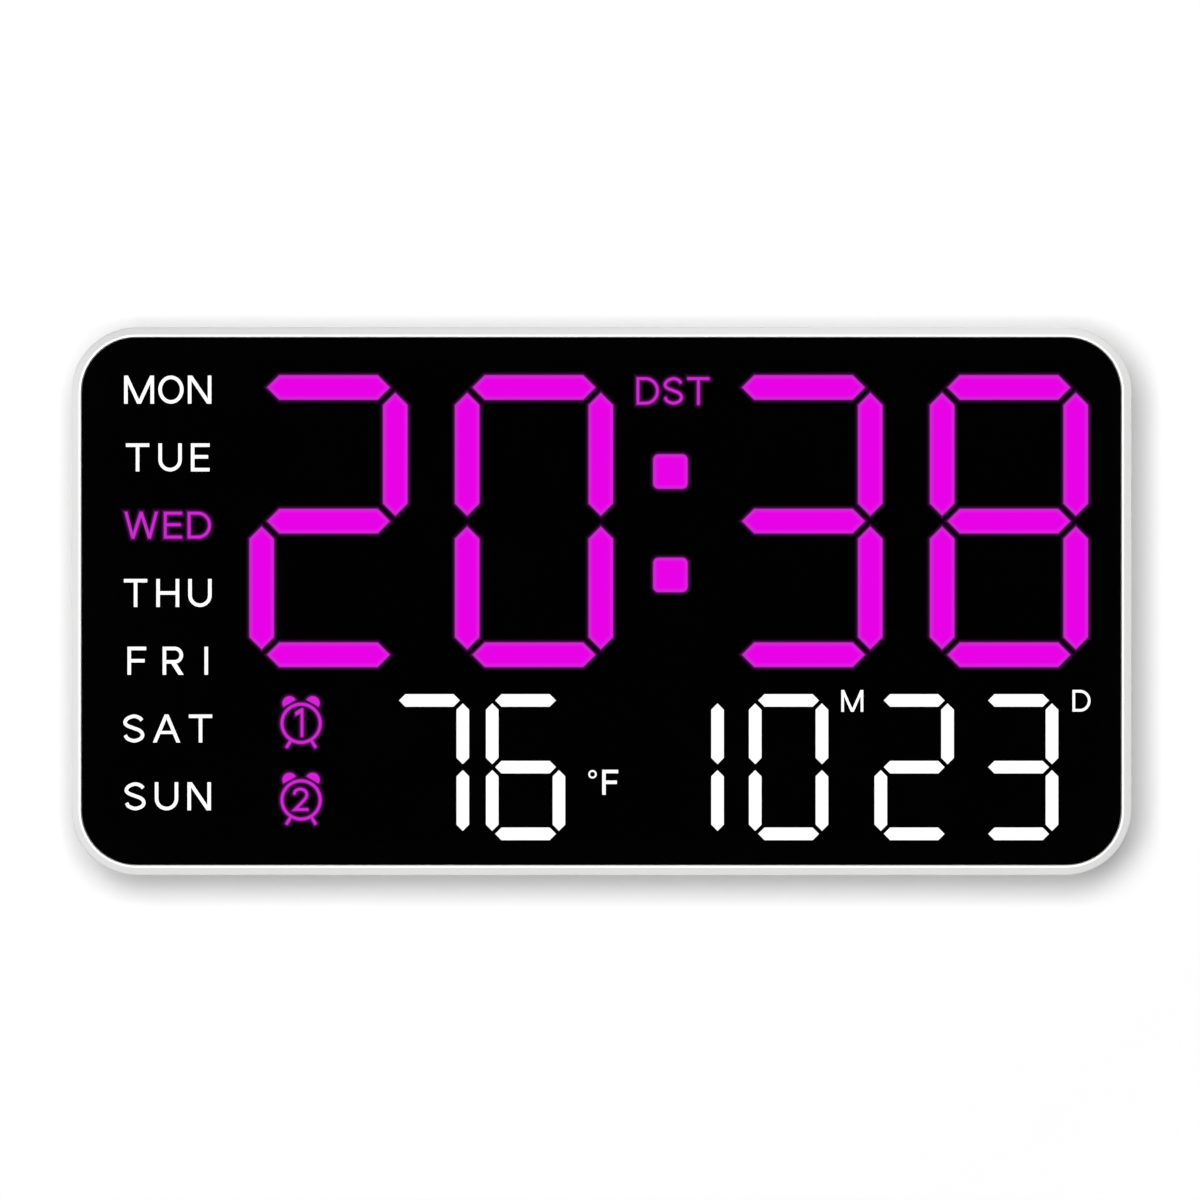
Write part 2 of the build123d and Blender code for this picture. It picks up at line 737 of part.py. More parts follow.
def keyholes():
    """Two hanging holes: a round entry for the screw head with a narrow slot above it."""
    holes = []
    for side in (-1, 1):
        slot = Pos(0, keyhole_slot_rise / 2) * Rectangle(2 * keyhole_slot_radius, keyhole_slot_rise)
        outline = Circle(keyhole_radius) + slot + Pos(0, keyhole_slot_rise) * Circle(keyhole_slot_radius)
        holes.append(Pos(side * keyhole_spacing / 2, keyhole_y) * block(outline, -overrun, rear_wall + overrun))
    return holes


def vents():
    """Row of slots that let the sound out and the room air in."""
    slot = block(SlotOverall(vent_length, vent_width), -overrun, rear_wall + overrun)
    first = -(vent_count - 1) * vent_pitch / 2
    return [Pos(vent_x, first + step * vent_pitch - vent_drop) * slot for step in range(vent_count)]


def button_holes():
    """Hole of each push button with a shallow dish for the fingertip."""
    radius = button_radius + button_clearance
    hole = block(Circle(radius), -overrun, rear_wall + overrun)
    dish = loft([Circle(radius + button_dish), Pos(0, 0, button_dish_depth) * Circle(radius)])
    return [Pos(x, y) * cut for x, y in button_places() for cut in (hole, dish)]


def well_outline(margin):
    """Rectangle of the leg's well, grown by the margin."""
    middle = (well_low_y + well_high_y) / 2
    return Pos(0, middle) * Rectangle(well_width + 2 * margin, well_high_y - well_low_y + 2 * margin)


def well_shell():
    """Walls and floor of the leg's well inside the case."""
    return block(well_outline(well_wall), rear_wall, well_inside)


def well_space():
    """Space of the leg's well, with the holes that hold the ends of the pin."""
    space = block(well_outline(0), -overrun, well_depth)
    space = fillet(space.edges().filter_by(Axis.Z).group_by(Axis.Y)[0], leg_corner_radius + well_side_gap)
    return [space, along_x(pin_radius + pin_seat_clearance, 0, hinge_y, pin_depth, well_width + 2 * pin_seat)]


def bay_outline(margin):
    """Rectangle of the battery bay, grown by the margin."""
    return Pos(bay_x, bay_y) * Rectangle(bay_width + 2 * margin, bay_height + 2 * margin)


def bay_shell():
    """Walls round the battery bay inside the case."""
    return block(bay_outline(bay_wall), rear_wall, board_low - bay_board_gap)


def bay_space():
    """Mouth for the door, space for the cell, and the pivot holes; the ledge and the screw boss are left."""
    mouth = block(bay_outline(0), -overrun, rear_wall)
    ledge_high = rear_wall + door_ledge_thickness
    boss_high = rear_wall + door_screw_boss_height
    screw_place = [(bay_x, door_screw_y)]
    boss = round_bars(screw_place, door_screw_boss_radius, rear_wall, boss_high)
    screw_hole = round_bars(screw_place, door_screw_radius + door_screw_hole_clearance, 0, boss_high + overrun)
    shelf = bay_outline(0) - bay_outline(-door_ledge)
    bridge_height = 2 * (door_screw_y - bay_low_y)
    bridge = Pos(bay_x, door_screw_y) * Rectangle(bay_width, bridge_height)
    kept = block(shelf + bridge, rear_wall, ledge_high) + boss
    space = block(bay_outline(0), rear_wall, board_low) - kept
    pivots = along_x(door_trunnion_radius + door_trunnion_clearance, bay_x, door_axis_y, door_axis_depth,
                     door_width + 2 * (door_trunnion_length + door_gap))
    return [mouth, space, *screw_hole, pivots]


def battery_door():
    """Flat door with a round upper edge, two moulded pivots, a screw seat and grip lines."""
    length = door_axis_y - bay_low_y - door_gap
    plate = block(Rectangle(door_width, length), door_recess, door_recess + door_thickness)
    door = Pos(bay_x, door_axis_y - length / 2) * plate
    door += along_x(door_thickness / 2, bay_x, door_axis_y, door_axis_depth, door_width)
    door += along_x(door_trunnion_radius, bay_x, door_axis_y, door_axis_depth,
                    door_width + 2 * door_trunnion_length)
    screw_place = [(bay_x, door_screw_y)]
    door -= round_bars(screw_place, door_screw_head_radius + door_screw_hole_clearance,
                       0, door_recess + door_screw_head_height)
    door -= round_bars(screw_place, door_screw_radius + screw_hole_clearance,
                       0, door_recess + door_thickness + overrun)
    groove = block(SlotOverall(door_grip_length, door_grip_width), 0, door_recess + door_grip_depth)
    first = door_screw_y + door_screw_head_radius + 2 * door_grip_pitch
    return door - [Pos(bay_x, first + step * door_grip_pitch) * groove for step in range(door_grip_count)]


def door_screw():
    """Captive screw that holds the battery door shut."""
    body = screw(door_screw_radius, door_screw_length, door_screw_head_radius, door_screw_head_height)
    return Pos(bay_x, door_screw_y, door_recess + door_screw_head_height) * body


def stand_leg():
    """Fold-out leg with a bored knuckle, a heel that stops it, a sunk panel and a fingernail scoop."""
    low = leg_recess
    high = leg_recess + leg_thickness
    length = leg_length + heel_length
    outline = Pos(0, leg_low_y + length / 2) * Rectangle(leg_width, length)
    leg = block(outline, low, high)
    foot_edges = leg.edges().filter_by(Axis.Z).group_by(Axis.Y)[0]
    leg = fillet(foot_edges, leg_corner_radius)
    leg += along_x(leg_knuckle_radius, 0, hinge_y, pin_depth, leg_width)
    panel_high_y = hinge_y - leg_knuckle_radius - leg_panel_inset
    panel_low_y = leg_low_y + leg_scoop_depth + leg_panel_inset
    panel = Pos(0, (panel_low_y + panel_high_y) / 2) * RectangleRounded(
        leg_width - 2 * leg_panel_inset, panel_high_y - panel_low_y, leg_corner_radius)
    leg -= block(panel, low - overrun, low + leg_panel_depth)
    scoop = Pos(0, leg_low_y) * SlotOverall(leg_scoop_width, 2 * leg_scoop_depth)
    leg -= block(scoop, low - overrun, high + overrun)
    return leg - along_x(pin_radius + pin_clearance, 0, hinge_y, pin_depth, leg_width + 2 * overrun)


def stand_pin():
    """Steel pin across the well that the leg turns on."""
    return along_x(pin_radius, 0, hinge_y, pin_depth, well_width + 2 * pin_seat)


def case_screws():
    """Screws that hold the rear cover to the front frame."""
    body = screw(case_screw_radius, case_screw_length, case_screw_head_radius, case_screw_head_height)
    return Compound([Pos(x, y, case_screw_seat) * body for x, y in corner_boss_places])


def board_screws():
    """Screws that hold the board to the front frame."""
    body = screw(board_screw_radius, board_screw_length, board_screw_head_radius, board_screw_head_height)
    return Compound([Pos(x, y, board_low) * body for x, y in side_boss_places])


pieces = {
    "front_frame": front_frame(),
    "front_lens": front_lens(),
    "lens_tape": lens_tape(),
    "display_mask": display_mask(),
    "segment_reflector": segment_reflector(),
    "display_board": display_board(),
    "segment_leds": segment_leds(),
    "board_screws": board_screws(),
    "clock_chip": chip(0, 0),
    "driver_chips": driver_chips(),
    "timing_crystal": timing_crystal(),
    "capacitors": capacitors(),
    "buzzer": buzzer(),
    "temperature_probe": temperature_probe(),
    "power_jack": power_jack(),
    "cell_holder": cell_holder(),
    "coin_cell": coin_cell(),
    "button_switches": button_switches(),
    "rear_cover": rear_cover(),
    "case_screws": case_screws(),
    "stand_leg": stand_leg(),
    "stand_pin": stand_pin(),
    "battery_door": battery_door(),
    "door_screw": door_screw(),
}
pieces.update({name: inserts(group) for name, group in windows.items()})
for name, (x, y) in zip(button_names, button_places()):
    pieces[f"{name}_button"] = Pos(x, y) * push_button()

os.makedirs("parts", exist_ok=True)
for name, shape in pieces.items():
    export_step(Plane.XZ.location * Pos(0, -keyhole_y) * shape, f"parts/{name}.step")
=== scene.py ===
"""Looks of a digital wall clock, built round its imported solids.

The solids come from the frame and stay where they are. This file gives each of them a finish, adds the
lettering of the display and the small legends of the back, and sets up a plain studio. Lengths are metres
in the row frame: X to the right as seen from the front, the face looks along -Y, Z up, and the back lies
on Y = 0.
"""
import json
import logging
from collections.abc import Mapping, Sequence
from dataclasses import dataclass, field
from enum import Enum
from typing import Any, ClassVar

import bmesh
import bpy
import numpy as np
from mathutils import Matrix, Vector


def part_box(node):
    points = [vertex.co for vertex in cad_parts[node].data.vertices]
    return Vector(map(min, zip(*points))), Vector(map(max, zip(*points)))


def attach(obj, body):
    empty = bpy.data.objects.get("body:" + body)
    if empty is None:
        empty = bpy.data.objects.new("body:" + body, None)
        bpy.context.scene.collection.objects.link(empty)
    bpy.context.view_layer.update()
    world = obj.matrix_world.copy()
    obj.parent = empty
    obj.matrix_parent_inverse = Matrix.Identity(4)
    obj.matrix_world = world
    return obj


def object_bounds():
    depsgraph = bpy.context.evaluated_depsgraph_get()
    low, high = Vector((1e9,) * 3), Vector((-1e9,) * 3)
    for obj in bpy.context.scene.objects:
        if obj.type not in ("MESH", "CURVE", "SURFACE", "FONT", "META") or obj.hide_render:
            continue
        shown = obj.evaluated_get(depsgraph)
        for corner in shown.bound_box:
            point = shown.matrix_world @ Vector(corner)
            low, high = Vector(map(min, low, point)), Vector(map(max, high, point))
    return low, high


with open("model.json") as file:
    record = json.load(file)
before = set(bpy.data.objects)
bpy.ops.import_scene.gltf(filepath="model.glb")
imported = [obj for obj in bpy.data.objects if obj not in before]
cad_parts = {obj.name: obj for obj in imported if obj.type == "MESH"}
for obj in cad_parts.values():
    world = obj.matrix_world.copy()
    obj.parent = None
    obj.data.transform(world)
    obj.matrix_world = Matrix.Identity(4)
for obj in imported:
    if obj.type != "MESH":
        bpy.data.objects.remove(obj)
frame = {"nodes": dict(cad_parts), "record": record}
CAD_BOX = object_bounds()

LOG = logging.getLogger("wall_clock")
ARC_STEPS = 25
CURVE_STEPS = 8
DISPLAY_STEPS = 255
TOE_END, TOE_SLOPE, CURVE_SHIFT, CURVE_POWER = 0.04045, 12.92, 0.055, 2.4
BLACK = (0.0, 0.0, 0.0, 1.0)
WHITE = (1.0, 1.0, 1.0, 1.0)

Colour = tuple[float, float, float]
Place = tuple[float, float, float]
Pair = tuple[float, float]


def linear(red: int, green: int, blue: int) -> Colour:
    """Light that a display colour stands for: straight near black and a power curve above that.

    Args:
        red: red in display steps.
        green: green in display steps.
        blue: blue in display steps.

    Returns:
        The three lights, from 0 to 1.
    """
    shares = np.array((red, green, blue)) / DISPLAY_STEPS
    curve = ((shares + CURVE_SHIFT) / (1 + CURVE_SHIFT)) ** CURVE_POWER
    light = np.where(shares <= TOE_END, shares / TOE_SLOPE, curve)
    return tuple(float(part) for part in light)


def covering(colour: Colour, share: float = 1.0) -> tuple[float, float, float, float]:
    """Colour times a share, with full cover."""
    return colour[0] * share, colour[1] * share, colour[2] * share, 1.0


class Value:
    """One output socket. The operators add Math nodes, so a pattern reads as a formula."""

    def __init__(self, tree: "Tree", socket: bpy.types.NodeSocket) -> None:
        """Wrap a socket of the given tree."""
        self.tree = tree
        self.socket = socket

    def __add__(self, other: "Value | float") -> "Value":
        """Sum of both."""
        return self.tree.math("ADD", self, other)

    def __sub__(self, other: "Value | float") -> "Value":
        """This less the other."""
        return self.tree.math("SUBTRACT", self, other)

    def __rsub__(self, other: "Value | float") -> "Value":
        """The other less this."""
        return self.tree.math("SUBTRACT", other, self)

    def __mul__(self, other: "Value | float") -> "Value":
        """Product of both."""
        return self.tree.math("MULTIPLY", self, other)

    def __lt__(self, other: "Value | float") -> "Value":
        """One where this is below the other, and zero elsewhere."""
        return self.tree.math("LESS_THAN", self, other)

    __radd__ = __add__
    __rmul__ = __mul__

    def either(self, other: "Value") -> "Value":
        """The larger of both."""
        return self.tree.math("MAXIMUM", self, other)

    def output(self, name: str) -> "Value":
        """Another output of the same node."""
        return Value(self.tree, self.socket.node.outputs[name])


class Tree:
    """The nodes of one material or of the world."""

    def __init__(self, owner: bpy.types.Material | bpy.types.World) -> None:
        """Start with no nodes.

        Args:
            owner: what the nodes belong to.
        """
        owner.use_nodes = True
        self.nodes = owner.node_tree.nodes
        self.links = owner.node_tree.links
        self.nodes.clear()

    def node(self, kind: str, settings: Mapping[str, Any], inputs: Mapping[Any, Any],
             output: int | str = 0) -> Value | None:
        """Add one node.

        Args:
            kind: Blender's name of the node type.
            settings: properties of the node, set first.
            inputs: values or links of the sockets, by name or number.
            output: name or number of the output that is wanted.

        Returns:
            The wanted output, or None for a node that has none.
        """
        node = self.nodes.new(kind)
        for name, setting in settings.items():
            setattr(node, name, setting)
        for name, value in inputs.items():
            if isinstance(value, Value):
                self.links.new(value.socket, node.inputs[name])
            else:
                node.inputs[name].default_value = value
        return Value(self, node.outputs[output]) if len(node.outputs) else None

    def math(self, operation: str, left: Value | float, right: Value | float) -> Value:
        """One Math node on two values."""
        return self.node("ShaderNodeMath", {"operation": operation}, {0: left, 1: right})

    def blend(self, share: Value, first: Any, second: Any) -> Value:
        """Colour that goes from the first to the second as the share goes from 0 to 1."""
        return self.node("ShaderNodeMix", {"data_type": "RGBA"}, {0: share, 6: first, 7: second}, 2)

    def point(self) -> Value:
        """Point of the object."""
        return self.node("ShaderNodeTexCoord", {}, {}, "Object")

    def depth(self) -> Value:
        """Y of the point."""
        return self.node("ShaderNodeSeparateXYZ", {}, {"Vector": self.point()}, "Y")

    def away(self, centre: Place, fade: Pair) -> Value:
        """Share that goes from 0 to 1 as the distance of the point from a centre goes through the fade.

        Args:
            centre: where the distance is measured from.
            fade: distances at which the share is 0 and 1.

        Returns:
            The share.
        """
        settings, ends = {"operation": "DISTANCE"}, {0: self.point(), 1: centre}
        distance = self.node("ShaderNodeVectorMath", settings, ends, "Value")
        inputs = {"Value": distance, "From Min": fade[0], "From Max": fade[1]}
        return self.node("ShaderNodeMapRange", {}, inputs)

    def seen(self) -> Value:
        """One for rays from the camera, also by way of a mirror or a clear piece, and zero for others."""
        rays = self.node("ShaderNodeLightPath", {}, {}, "Is Camera Ray")
        return rays.either(rays.output("Is Glossy Ray")).either(rays.output("Is Transmission Ray"))

    def noise(self, size: float, detail: float = 2.0, stretch: Place = (1.0, 1.0, 1.0)) -> Value:
        """Soft noise from 0 to 1 with patches of the given size, on axes that may be stretched."""
        place = self.node("ShaderNodeMapping", {}, {"Vector": self.point(), "Scale": stretch})
        return self.node("ShaderNodeTexNoise", {}, {"Vector": place, "Scale": 1 / size, "Detail": detail})

    def bump(self, height: Value, depth: float) -> Value:
        """Normal of a surface that rises by the depth as the height goes from 0 to 1."""
        return self.node("ShaderNodeBump", {}, {"Height": height, "Distance": depth, "Strength": 1.0})

    def mix(self, share: Value, first: Value, second: Value) -> Value:
        """Shader that goes from the first to the second as the share goes from 0 to 1."""
        return self.node("ShaderNodeMixShader", {}, {0: share, 1: first, 2: second})

    def surface(self, shader: Value) -> None:
        """Join a shader to the material's output."""
        self.node("ShaderNodeOutputMaterial", {}, {"Surface": shader})

    def principled(self, inputs: Mapping[str, Any]) -> None:
        """Principled surface with the given sockets, joined to the material's output."""
        self.surface(self.node("ShaderNodeBsdfPrincipled", {}, inputs))


@dataclass(frozen=True)
class Moulding:
    """Moulded plastic: an even colour with faint clouds, and the fine grain of an eroded tool."""

    colour: Colour
    roughness: float = 0.42
    grain: float = 0.35e-3
    depth: float = 5e-6
    cloud: float = 25e-3
    clouding: float = 0.05
    specular: float = 0.5
    index: float = 1.5
    detail: float = 3.0
    polish: float = 0.06
    cloud_matt: float = 0.08
    grain_matt: float = 0.06

    def fill(self, tree: Tree) -> None:
        """Colour and roughness follow broad clouds, and the bump follows the grain.

        Args:
            tree: nodes of the material.
        """
        clouds, grain = tree.noise(self.cloud), tree.noise(self.grain, self.detail)
        dim, full = covering(self.colour, 1 - self.clouding), covering(self.colour)
        tree.principled({
            "Base Color": tree.blend(clouds, dim, full),
            "Roughness": self.roughness - self.polish + self.cloud_matt * clouds + self.grain_matt * grain,
            "Specular IOR Level": self.specular,
            "IOR": self.index,
            "Normal": tree.bump(grain, self.depth),
        })


@dataclass(frozen=True)
class SmokedPanel:
    """Polished dark panel that lets part of the light through, with faint handling marks."""

    colour: Colour
    cover: float = 0.35
    roughness: float = 0.012
    specular: float = 0.5
    mark: float = 14e-3
    mark_detail: float = 5.0
    mark_matt: float = 0.016
    tone_shares: Pair = (0.7, 1.3)
    wave: float = 60e-3
    wave_depth: float = 6e-6

    def fill(self, tree: Tree) -> None:
        """Roughness rises a little in the marks, and a long wave bends the reflections.

        Args:
            tree: nodes of the material.
        """
        marks = tree.noise(self.mark, self.mark_detail)
        dim, full = (covering(self.colour, share) for share in self.tone_shares)
        tree.principled({
            "Base Color": tree.blend(marks, dim, full),
            "Roughness": self.roughness + self.mark_matt * marks,
            "Alpha": self.cover,
            "Specular IOR Level": self.specular,
            "Normal": tree.bump(tree.noise(self.wave), self.wave_depth),
        })


@dataclass(frozen=True)
class LitDiffuser:
    """Diffuser with lamps behind it: almost even, a little deeper away from the lamps."""

    light: Colour
    strength: float
    patch: float = 5e-3
    fall: float = 0.12
    patch_detail: float = 1.0
    patch_matt: float = 0.15
    body_share: float = 0.2
    roughness: float = 0.35

    def fill(self, tree: Tree) -> None:
        """The light falls off by a small share in soft patches.

        Args:
            tree: nodes of the material.
        """
        patches = tree.noise(self.patch, self.patch_detail)
        tree.principled({
            "Base Color": covering(self.light, self.body_share),
            "Roughness": self.roughness + self.patch_matt * patches,
            "Specular IOR Level": 0.0,
            "Emission Color": tree.blend(patches, covering(self.light, 1 - self.fall), covering(self.light)),
            "Emission Strength": self.strength,
        })


@dataclass(frozen=True)
class GlowingMark:
    """Lit mark with a paler edge and a halo, told by a point's height above the film that carries it."""

    full: Colour
    edge: Colour
    strength: float
    film: float
    edge_rise: float
    top_rise: float
    run: float
    fade: float = 0.2e-3
    halo_share: float = 0.5
    roughness: float = 0.6
    mottle: float = 1e-3
    mottle_matt: float = 0.1

    def fill(self, tree: Tree) -> None:
        """Above the edge the colours blend; below it the light halves at once and then dies away.

        The run is how far the skirt goes out for each metre that it falls. So the distance from the edge is
        the missing height times the run, and the light falls by the factor e in each fade.

        Args:
            tree: nodes of the material.
        """
        height = self.film - tree.depth()
        inside = (height - self.edge_rise) * (1 / (self.top_rise - self.edge_rise))
        fall = tree.math("POWER", float(np.exp(-1)), (self.edge_rise - height) * (self.run / self.fade))
        lit = 1 - (height < self.edge_rise) * (1 - self.halo_share * fall)
        colour = tree.blend(inside, covering(self.edge), covering(self.full))
        tree.principled({
            "Base Color": BLACK,
            "Roughness": self.roughness + self.mottle_matt * tree.noise(self.mottle),
            "Specular IOR Level": 0.0,
            "Emission Color": tree.blend(lit, BLACK, colour),
            "Emission Strength": self.strength,
        })


@dataclass(frozen=True)
class SolderMask:
    """Circuit board: lacquered copper runs that stand a little above the board."""

    colour: Colour
    run: Colour
    cell: float = 4.5e-3
    width: float = 0.11
    depth: float = 30e-6
    run_cover: float = 0.7
    run_mottle: float = 0.3
    roughness: float = 0.24
    mottle: float = 1.2e-3
    mottle_detail: float = 3.0
    mottle_matt: float = 0.12

    def fill(self, tree: Tree) -> None:
        """Runs lie along the borders of square cells, and a fine noise mottles the lacquer.

        Args:
            tree: nodes of the material.
        """
        settings = {"feature": "DISTANCE_TO_EDGE", "distance": "CHEBYCHEV"}
        inputs = {"Vector": tree.point(), "Scale": 1 / self.cell}
        runs = tree.node("ShaderNodeTexVoronoi", settings, inputs, "Distance") < self.width
        mottle = tree.noise(self.mottle, self.mottle_detail)
        cover = runs * (self.run_cover + self.run_mottle * mottle)
        tree.principled({
            "Base Color": tree.blend(cover, covering(self.colour), covering(self.run)),
            "Roughness": self.roughness + self.mottle_matt * mottle,
            "Normal": tree.bump(runs, self.depth),
        })


@dataclass(frozen=True)
class PlatedMetal:
    """Plated metal with fine drawing lines along one axis."""

    colour: Colour
    roughness: float = 0.28
    line: float = 0.12e-3
    stretch: Place = (0.06, 1.0, 1.0)
    depth: float = 1.5e-6
    detail: float = 3.0
    shade_share: float = 0.88
    polish: float = 0.06
    streak_matt: float = 0.14

    def fill(self, tree: Tree) -> None:
        """Long streaks of noise change the roughness, the tone and the bump together.

        Args:
            tree: nodes of the material.
        """
        streaks = tree.noise(self.line, self.detail, self.stretch)
        dim, full = covering(self.colour, self.shade_share), covering(self.colour)
        tree.principled({
            "Base Color": tree.blend(streaks, dim, full),
            "Metallic": 1.0,
            "Roughness": self.roughness - self.polish + self.streak_matt * streaks,
            "Normal": tree.bump(streaks, self.depth),
        })


@dataclass(frozen=True)
class LightBox:
    """White moulding whose front is painted black, so that only the windows shine."""

    colour: Colour
    paint: Colour
    front: float
    cover: float = 3.2e-3
    roughness: float = 0.45
    mottle: float = 0.6e-3
    mottle_detail: float = 3.0
    mottle_matt: float = 0.1
    specular: float = 0.1

    def fill(self, tree: Tree) -> None:
        """Painted where the point is nearer to the front than the cover, and white behind that.

        Args:
            tree: nodes of the material.
        """
        painted = tree.depth() < self.front + self.cover
        tree.principled({
            "Base Color": tree.blend(painted, covering(self.colour), covering(self.paint)),
            "Roughness": self.roughness + self.mottle_matt * tree.noise(self.mottle, self.mottle_detail),
            "Specular IOR Level": self.specular,
        })


Finish = Moulding | SmokedPanel | LitDiffuser | GlowingMark | SolderMask | PlatedMetal | LightBox


class Glow(Enum):
    """Colours of the lit marks as they show in front of the panel."""

    MAGENTA = linear(231, 2, 230)
    PALE_MAGENTA = linear(198, 46, 201)
    WHITE = linear(255, 255, 255)


class Wardrobe:
    """All finishes, each made into one material when it is first asked for.

    The levels are the lights of the lit pieces as they show in front of the panel.
    """

    panel: ClassVar[SmokedPanel] = SmokedPanel(linear(2, 2, 2))
    case: ClassVar[Moulding] = Moulding(linear(234, 234, 233), 0.45, depth=2.5e-6, specular=1.0, index=1.7)
    back: ClassVar[Moulding] = Moulding(linear(236, 236, 235), 0.5, 0.45e-3, 14e-6)
    unlit: ClassVar[Moulding] = Moulding(linear(3, 3, 3), 0.6, specular=0.0)
    legend_print: ClassVar[Moulding] = Moulding(linear(120, 121, 123), 0.6, 0.2e-3, 3e-6)
    magenta_level: ClassVar[float] = 1.0
    white_level: ClassVar[float] = 1.06
    white_fall: ClassVar[float] = 0.06
    mark_level: ClassVar[float] = 1.01

    def __init__(self) -> None:
        """List the finish of every slot, and of the few nodes that differ from their slot."""
        through = (1 - self.panel.cover) ** 2
        box_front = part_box("segment_reflector")[0].y
        self.slots: dict[str, Finish] = {
            "white_case": self.case,
            "smoked_lens": self.panel,
            "black_film": self.unlit,
            "foam_tape": Moulding(linear(9, 9, 9), 0.9, 0.5e-3, 40e-6, specular=0.04),
            "reflector_white": LightBox(linear(230, 230, 227), self.unlit.colour, box_front),
            "magenta_light": LitDiffuser(Glow.MAGENTA.value, self.magenta_level / through),
            "white_light": LitDiffuser(Glow.WHITE.value, self.white_level / through, fall=self.white_fall),
            "dark_diffuser": self.unlit,
            "board_green": SolderMask(linear(16, 88, 52), linear(40, 128, 74)),
            "lamp_cream": Moulding(linear(236, 228, 190), 0.3, depth=1e-6),
            "chip_black": Moulding(linear(40, 40, 42), 0.55, 0.2e-3, 8e-6),
            "can_metal": PlatedMetal(linear(214, 214, 216), 0.3),
            "steel": PlatedMetal(linear(196, 196, 198), 0.26),
            "black_plastic": Moulding(linear(36, 36, 38), 0.42),
            "bead_brown": Moulding(linear(118, 72, 40), 0.2, 0.6e-3, 12e-6),
            "cell_steel": PlatedMetal(linear(214, 213, 209), 0.22),
            "button_grey": Moulding(linear(186, 187, 188), 0.38, depth=2e-6),
        }
        self.own: dict[str, Finish] = dict.fromkeys(("rear_cover", "stand_leg", "battery_door"), self.back)
        self.mark_light = self.mark_level / through
        self.made: dict[Finish, bpy.types.Material] = {}

    def material(self, name: str, finish: Finish) -> bpy.types.Material:
        """Material of a finish.

        Args:
            name: name that the material gets if it is new.
            finish: the finish.

        Returns:
            The one material of that finish.
        """
        if finish not in self.made:
            self.made[finish] = bpy.data.materials.new(name)
            finish.fill(Tree(self.made[finish]))
        return self.made[finish]

    def of_slot(self, slot: str) -> bpy.types.Material:
        """Material of a slot of the record."""
        return self.material(slot, self.slots[slot])

    def dress_solids(self) -> None:
        """Give every solid of the frame the finish of its slot or its own."""
        for row in frame["record"]["subparts"]:
            node, slot = row["node"], row["material_slot"]
            material = self.material(node, self.own[node]) if node in self.own else self.of_slot(slot)
            solid = frame["nodes"][node]
            if solid.material_slots:
                for holder in solid.material_slots:
                    holder.material = material
            else:
                solid.data.materials.append(material)
            LOG.info("%s: %s", node, material.name)


def arc(middle: Pair, radii: Pair, start: float, end: float, steps: int = ARC_STEPS) -> np.ndarray:
    """Elliptic arc: middle plus radii times cosine and sine of angles in even steps, given in degrees."""
    angles = np.radians(np.linspace(start, end, steps))
    return np.column_stack((middle[0] + radii[0] * np.cos(angles), middle[1] + radii[1] * np.sin(angles)))


def ellipse(middle: Pair, radii: Pair, steps: int = ARC_STEPS) -> np.ndarray:
    """Whole ellipse, without a second point at its start."""
    return arc(middle, radii, 0, 360, steps)[:-1]


def smooth(points: Sequence[Pair]) -> np.ndarray:
    """Curve through the points: on each run a cubic whose slopes join the points before and after it.

    Args:
        points: places that the curve passes, in order.

    Returns:
        Points of the curve, one row each.
    """
    known = np.array(points)
    padded = np.vstack((2 * known[0] - known[1], known, 2 * known[-1] - known[-2]))
    before, start, end, after = (padded[shift:len(padded) - 3 + shift, None] for shift in range(4))
    share = np.linspace(0, 1, CURVE_STEPS, endpoint=False)[None, :, None]
    rise, fall = (end - before) / 2, (after - start) / 2
    bend = 3 * (end - start) - 2 * rise - fall
    twist = 2 * (start - end) + rise + fall
    curve = start + rise * share + bend * share ** 2 + twist * share ** 3
    return np.vstack((curve.reshape(-1, 2), known[-1]))


@dataclass(frozen=True)
class Stroke:
    """Line of even width along a path."""

    path: np.ndarray
    width: float
    closed: bool = False


@dataclass(frozen=True)
class Patch:
    """Filled outline, with its brightest part a core's distance inside it."""

    corners: np.ndarray
    core: float = 0.0


Mark = Stroke | Patch


def moved(marks: Sequence[Mark], step: Pair) -> list[Mark]:
    """The same marks a step away."""
    return [Stroke(mark.path + step, mark.width, mark.closed) if isinstance(mark, Stroke)
            else Patch(mark.corners + step, mark.core) for mark in marks]


def widened(corners: np.ndarray, distance: float, limit: float = 1.6) -> np.ndarray:
    """Outline moved outwards: each corner goes along its mitred normal, cut short where it is sharp.

    Args:
        corners: the outline.
        distance: how far it moves; below zero it moves inwards.
        limit: longest way of a corner as a share of the distance.

    Returns:
        The moved outline.
    """
    ahead = np.roll(corners, -1, 0)
    turn = np.sign((corners[:, 0] * ahead[:, 1] - ahead[:, 0] * corners[:, 1]).sum())
    steps = ahead - corners
    after = np.column_stack((steps[:, 1], -steps[:, 0])) / np.hypot(steps[:, 0], steps[:, 1])[:, None]
    before = np.roll(after, 1, 0)
    mitre = (after + before) / (1 + (after * before).sum(1, keepdims=True))
    length = np.hypot(mitre[:, 0], mitre[:, 1])[:, None]
    return corners + turn * distance * mitre * np.minimum(1, limit / length)


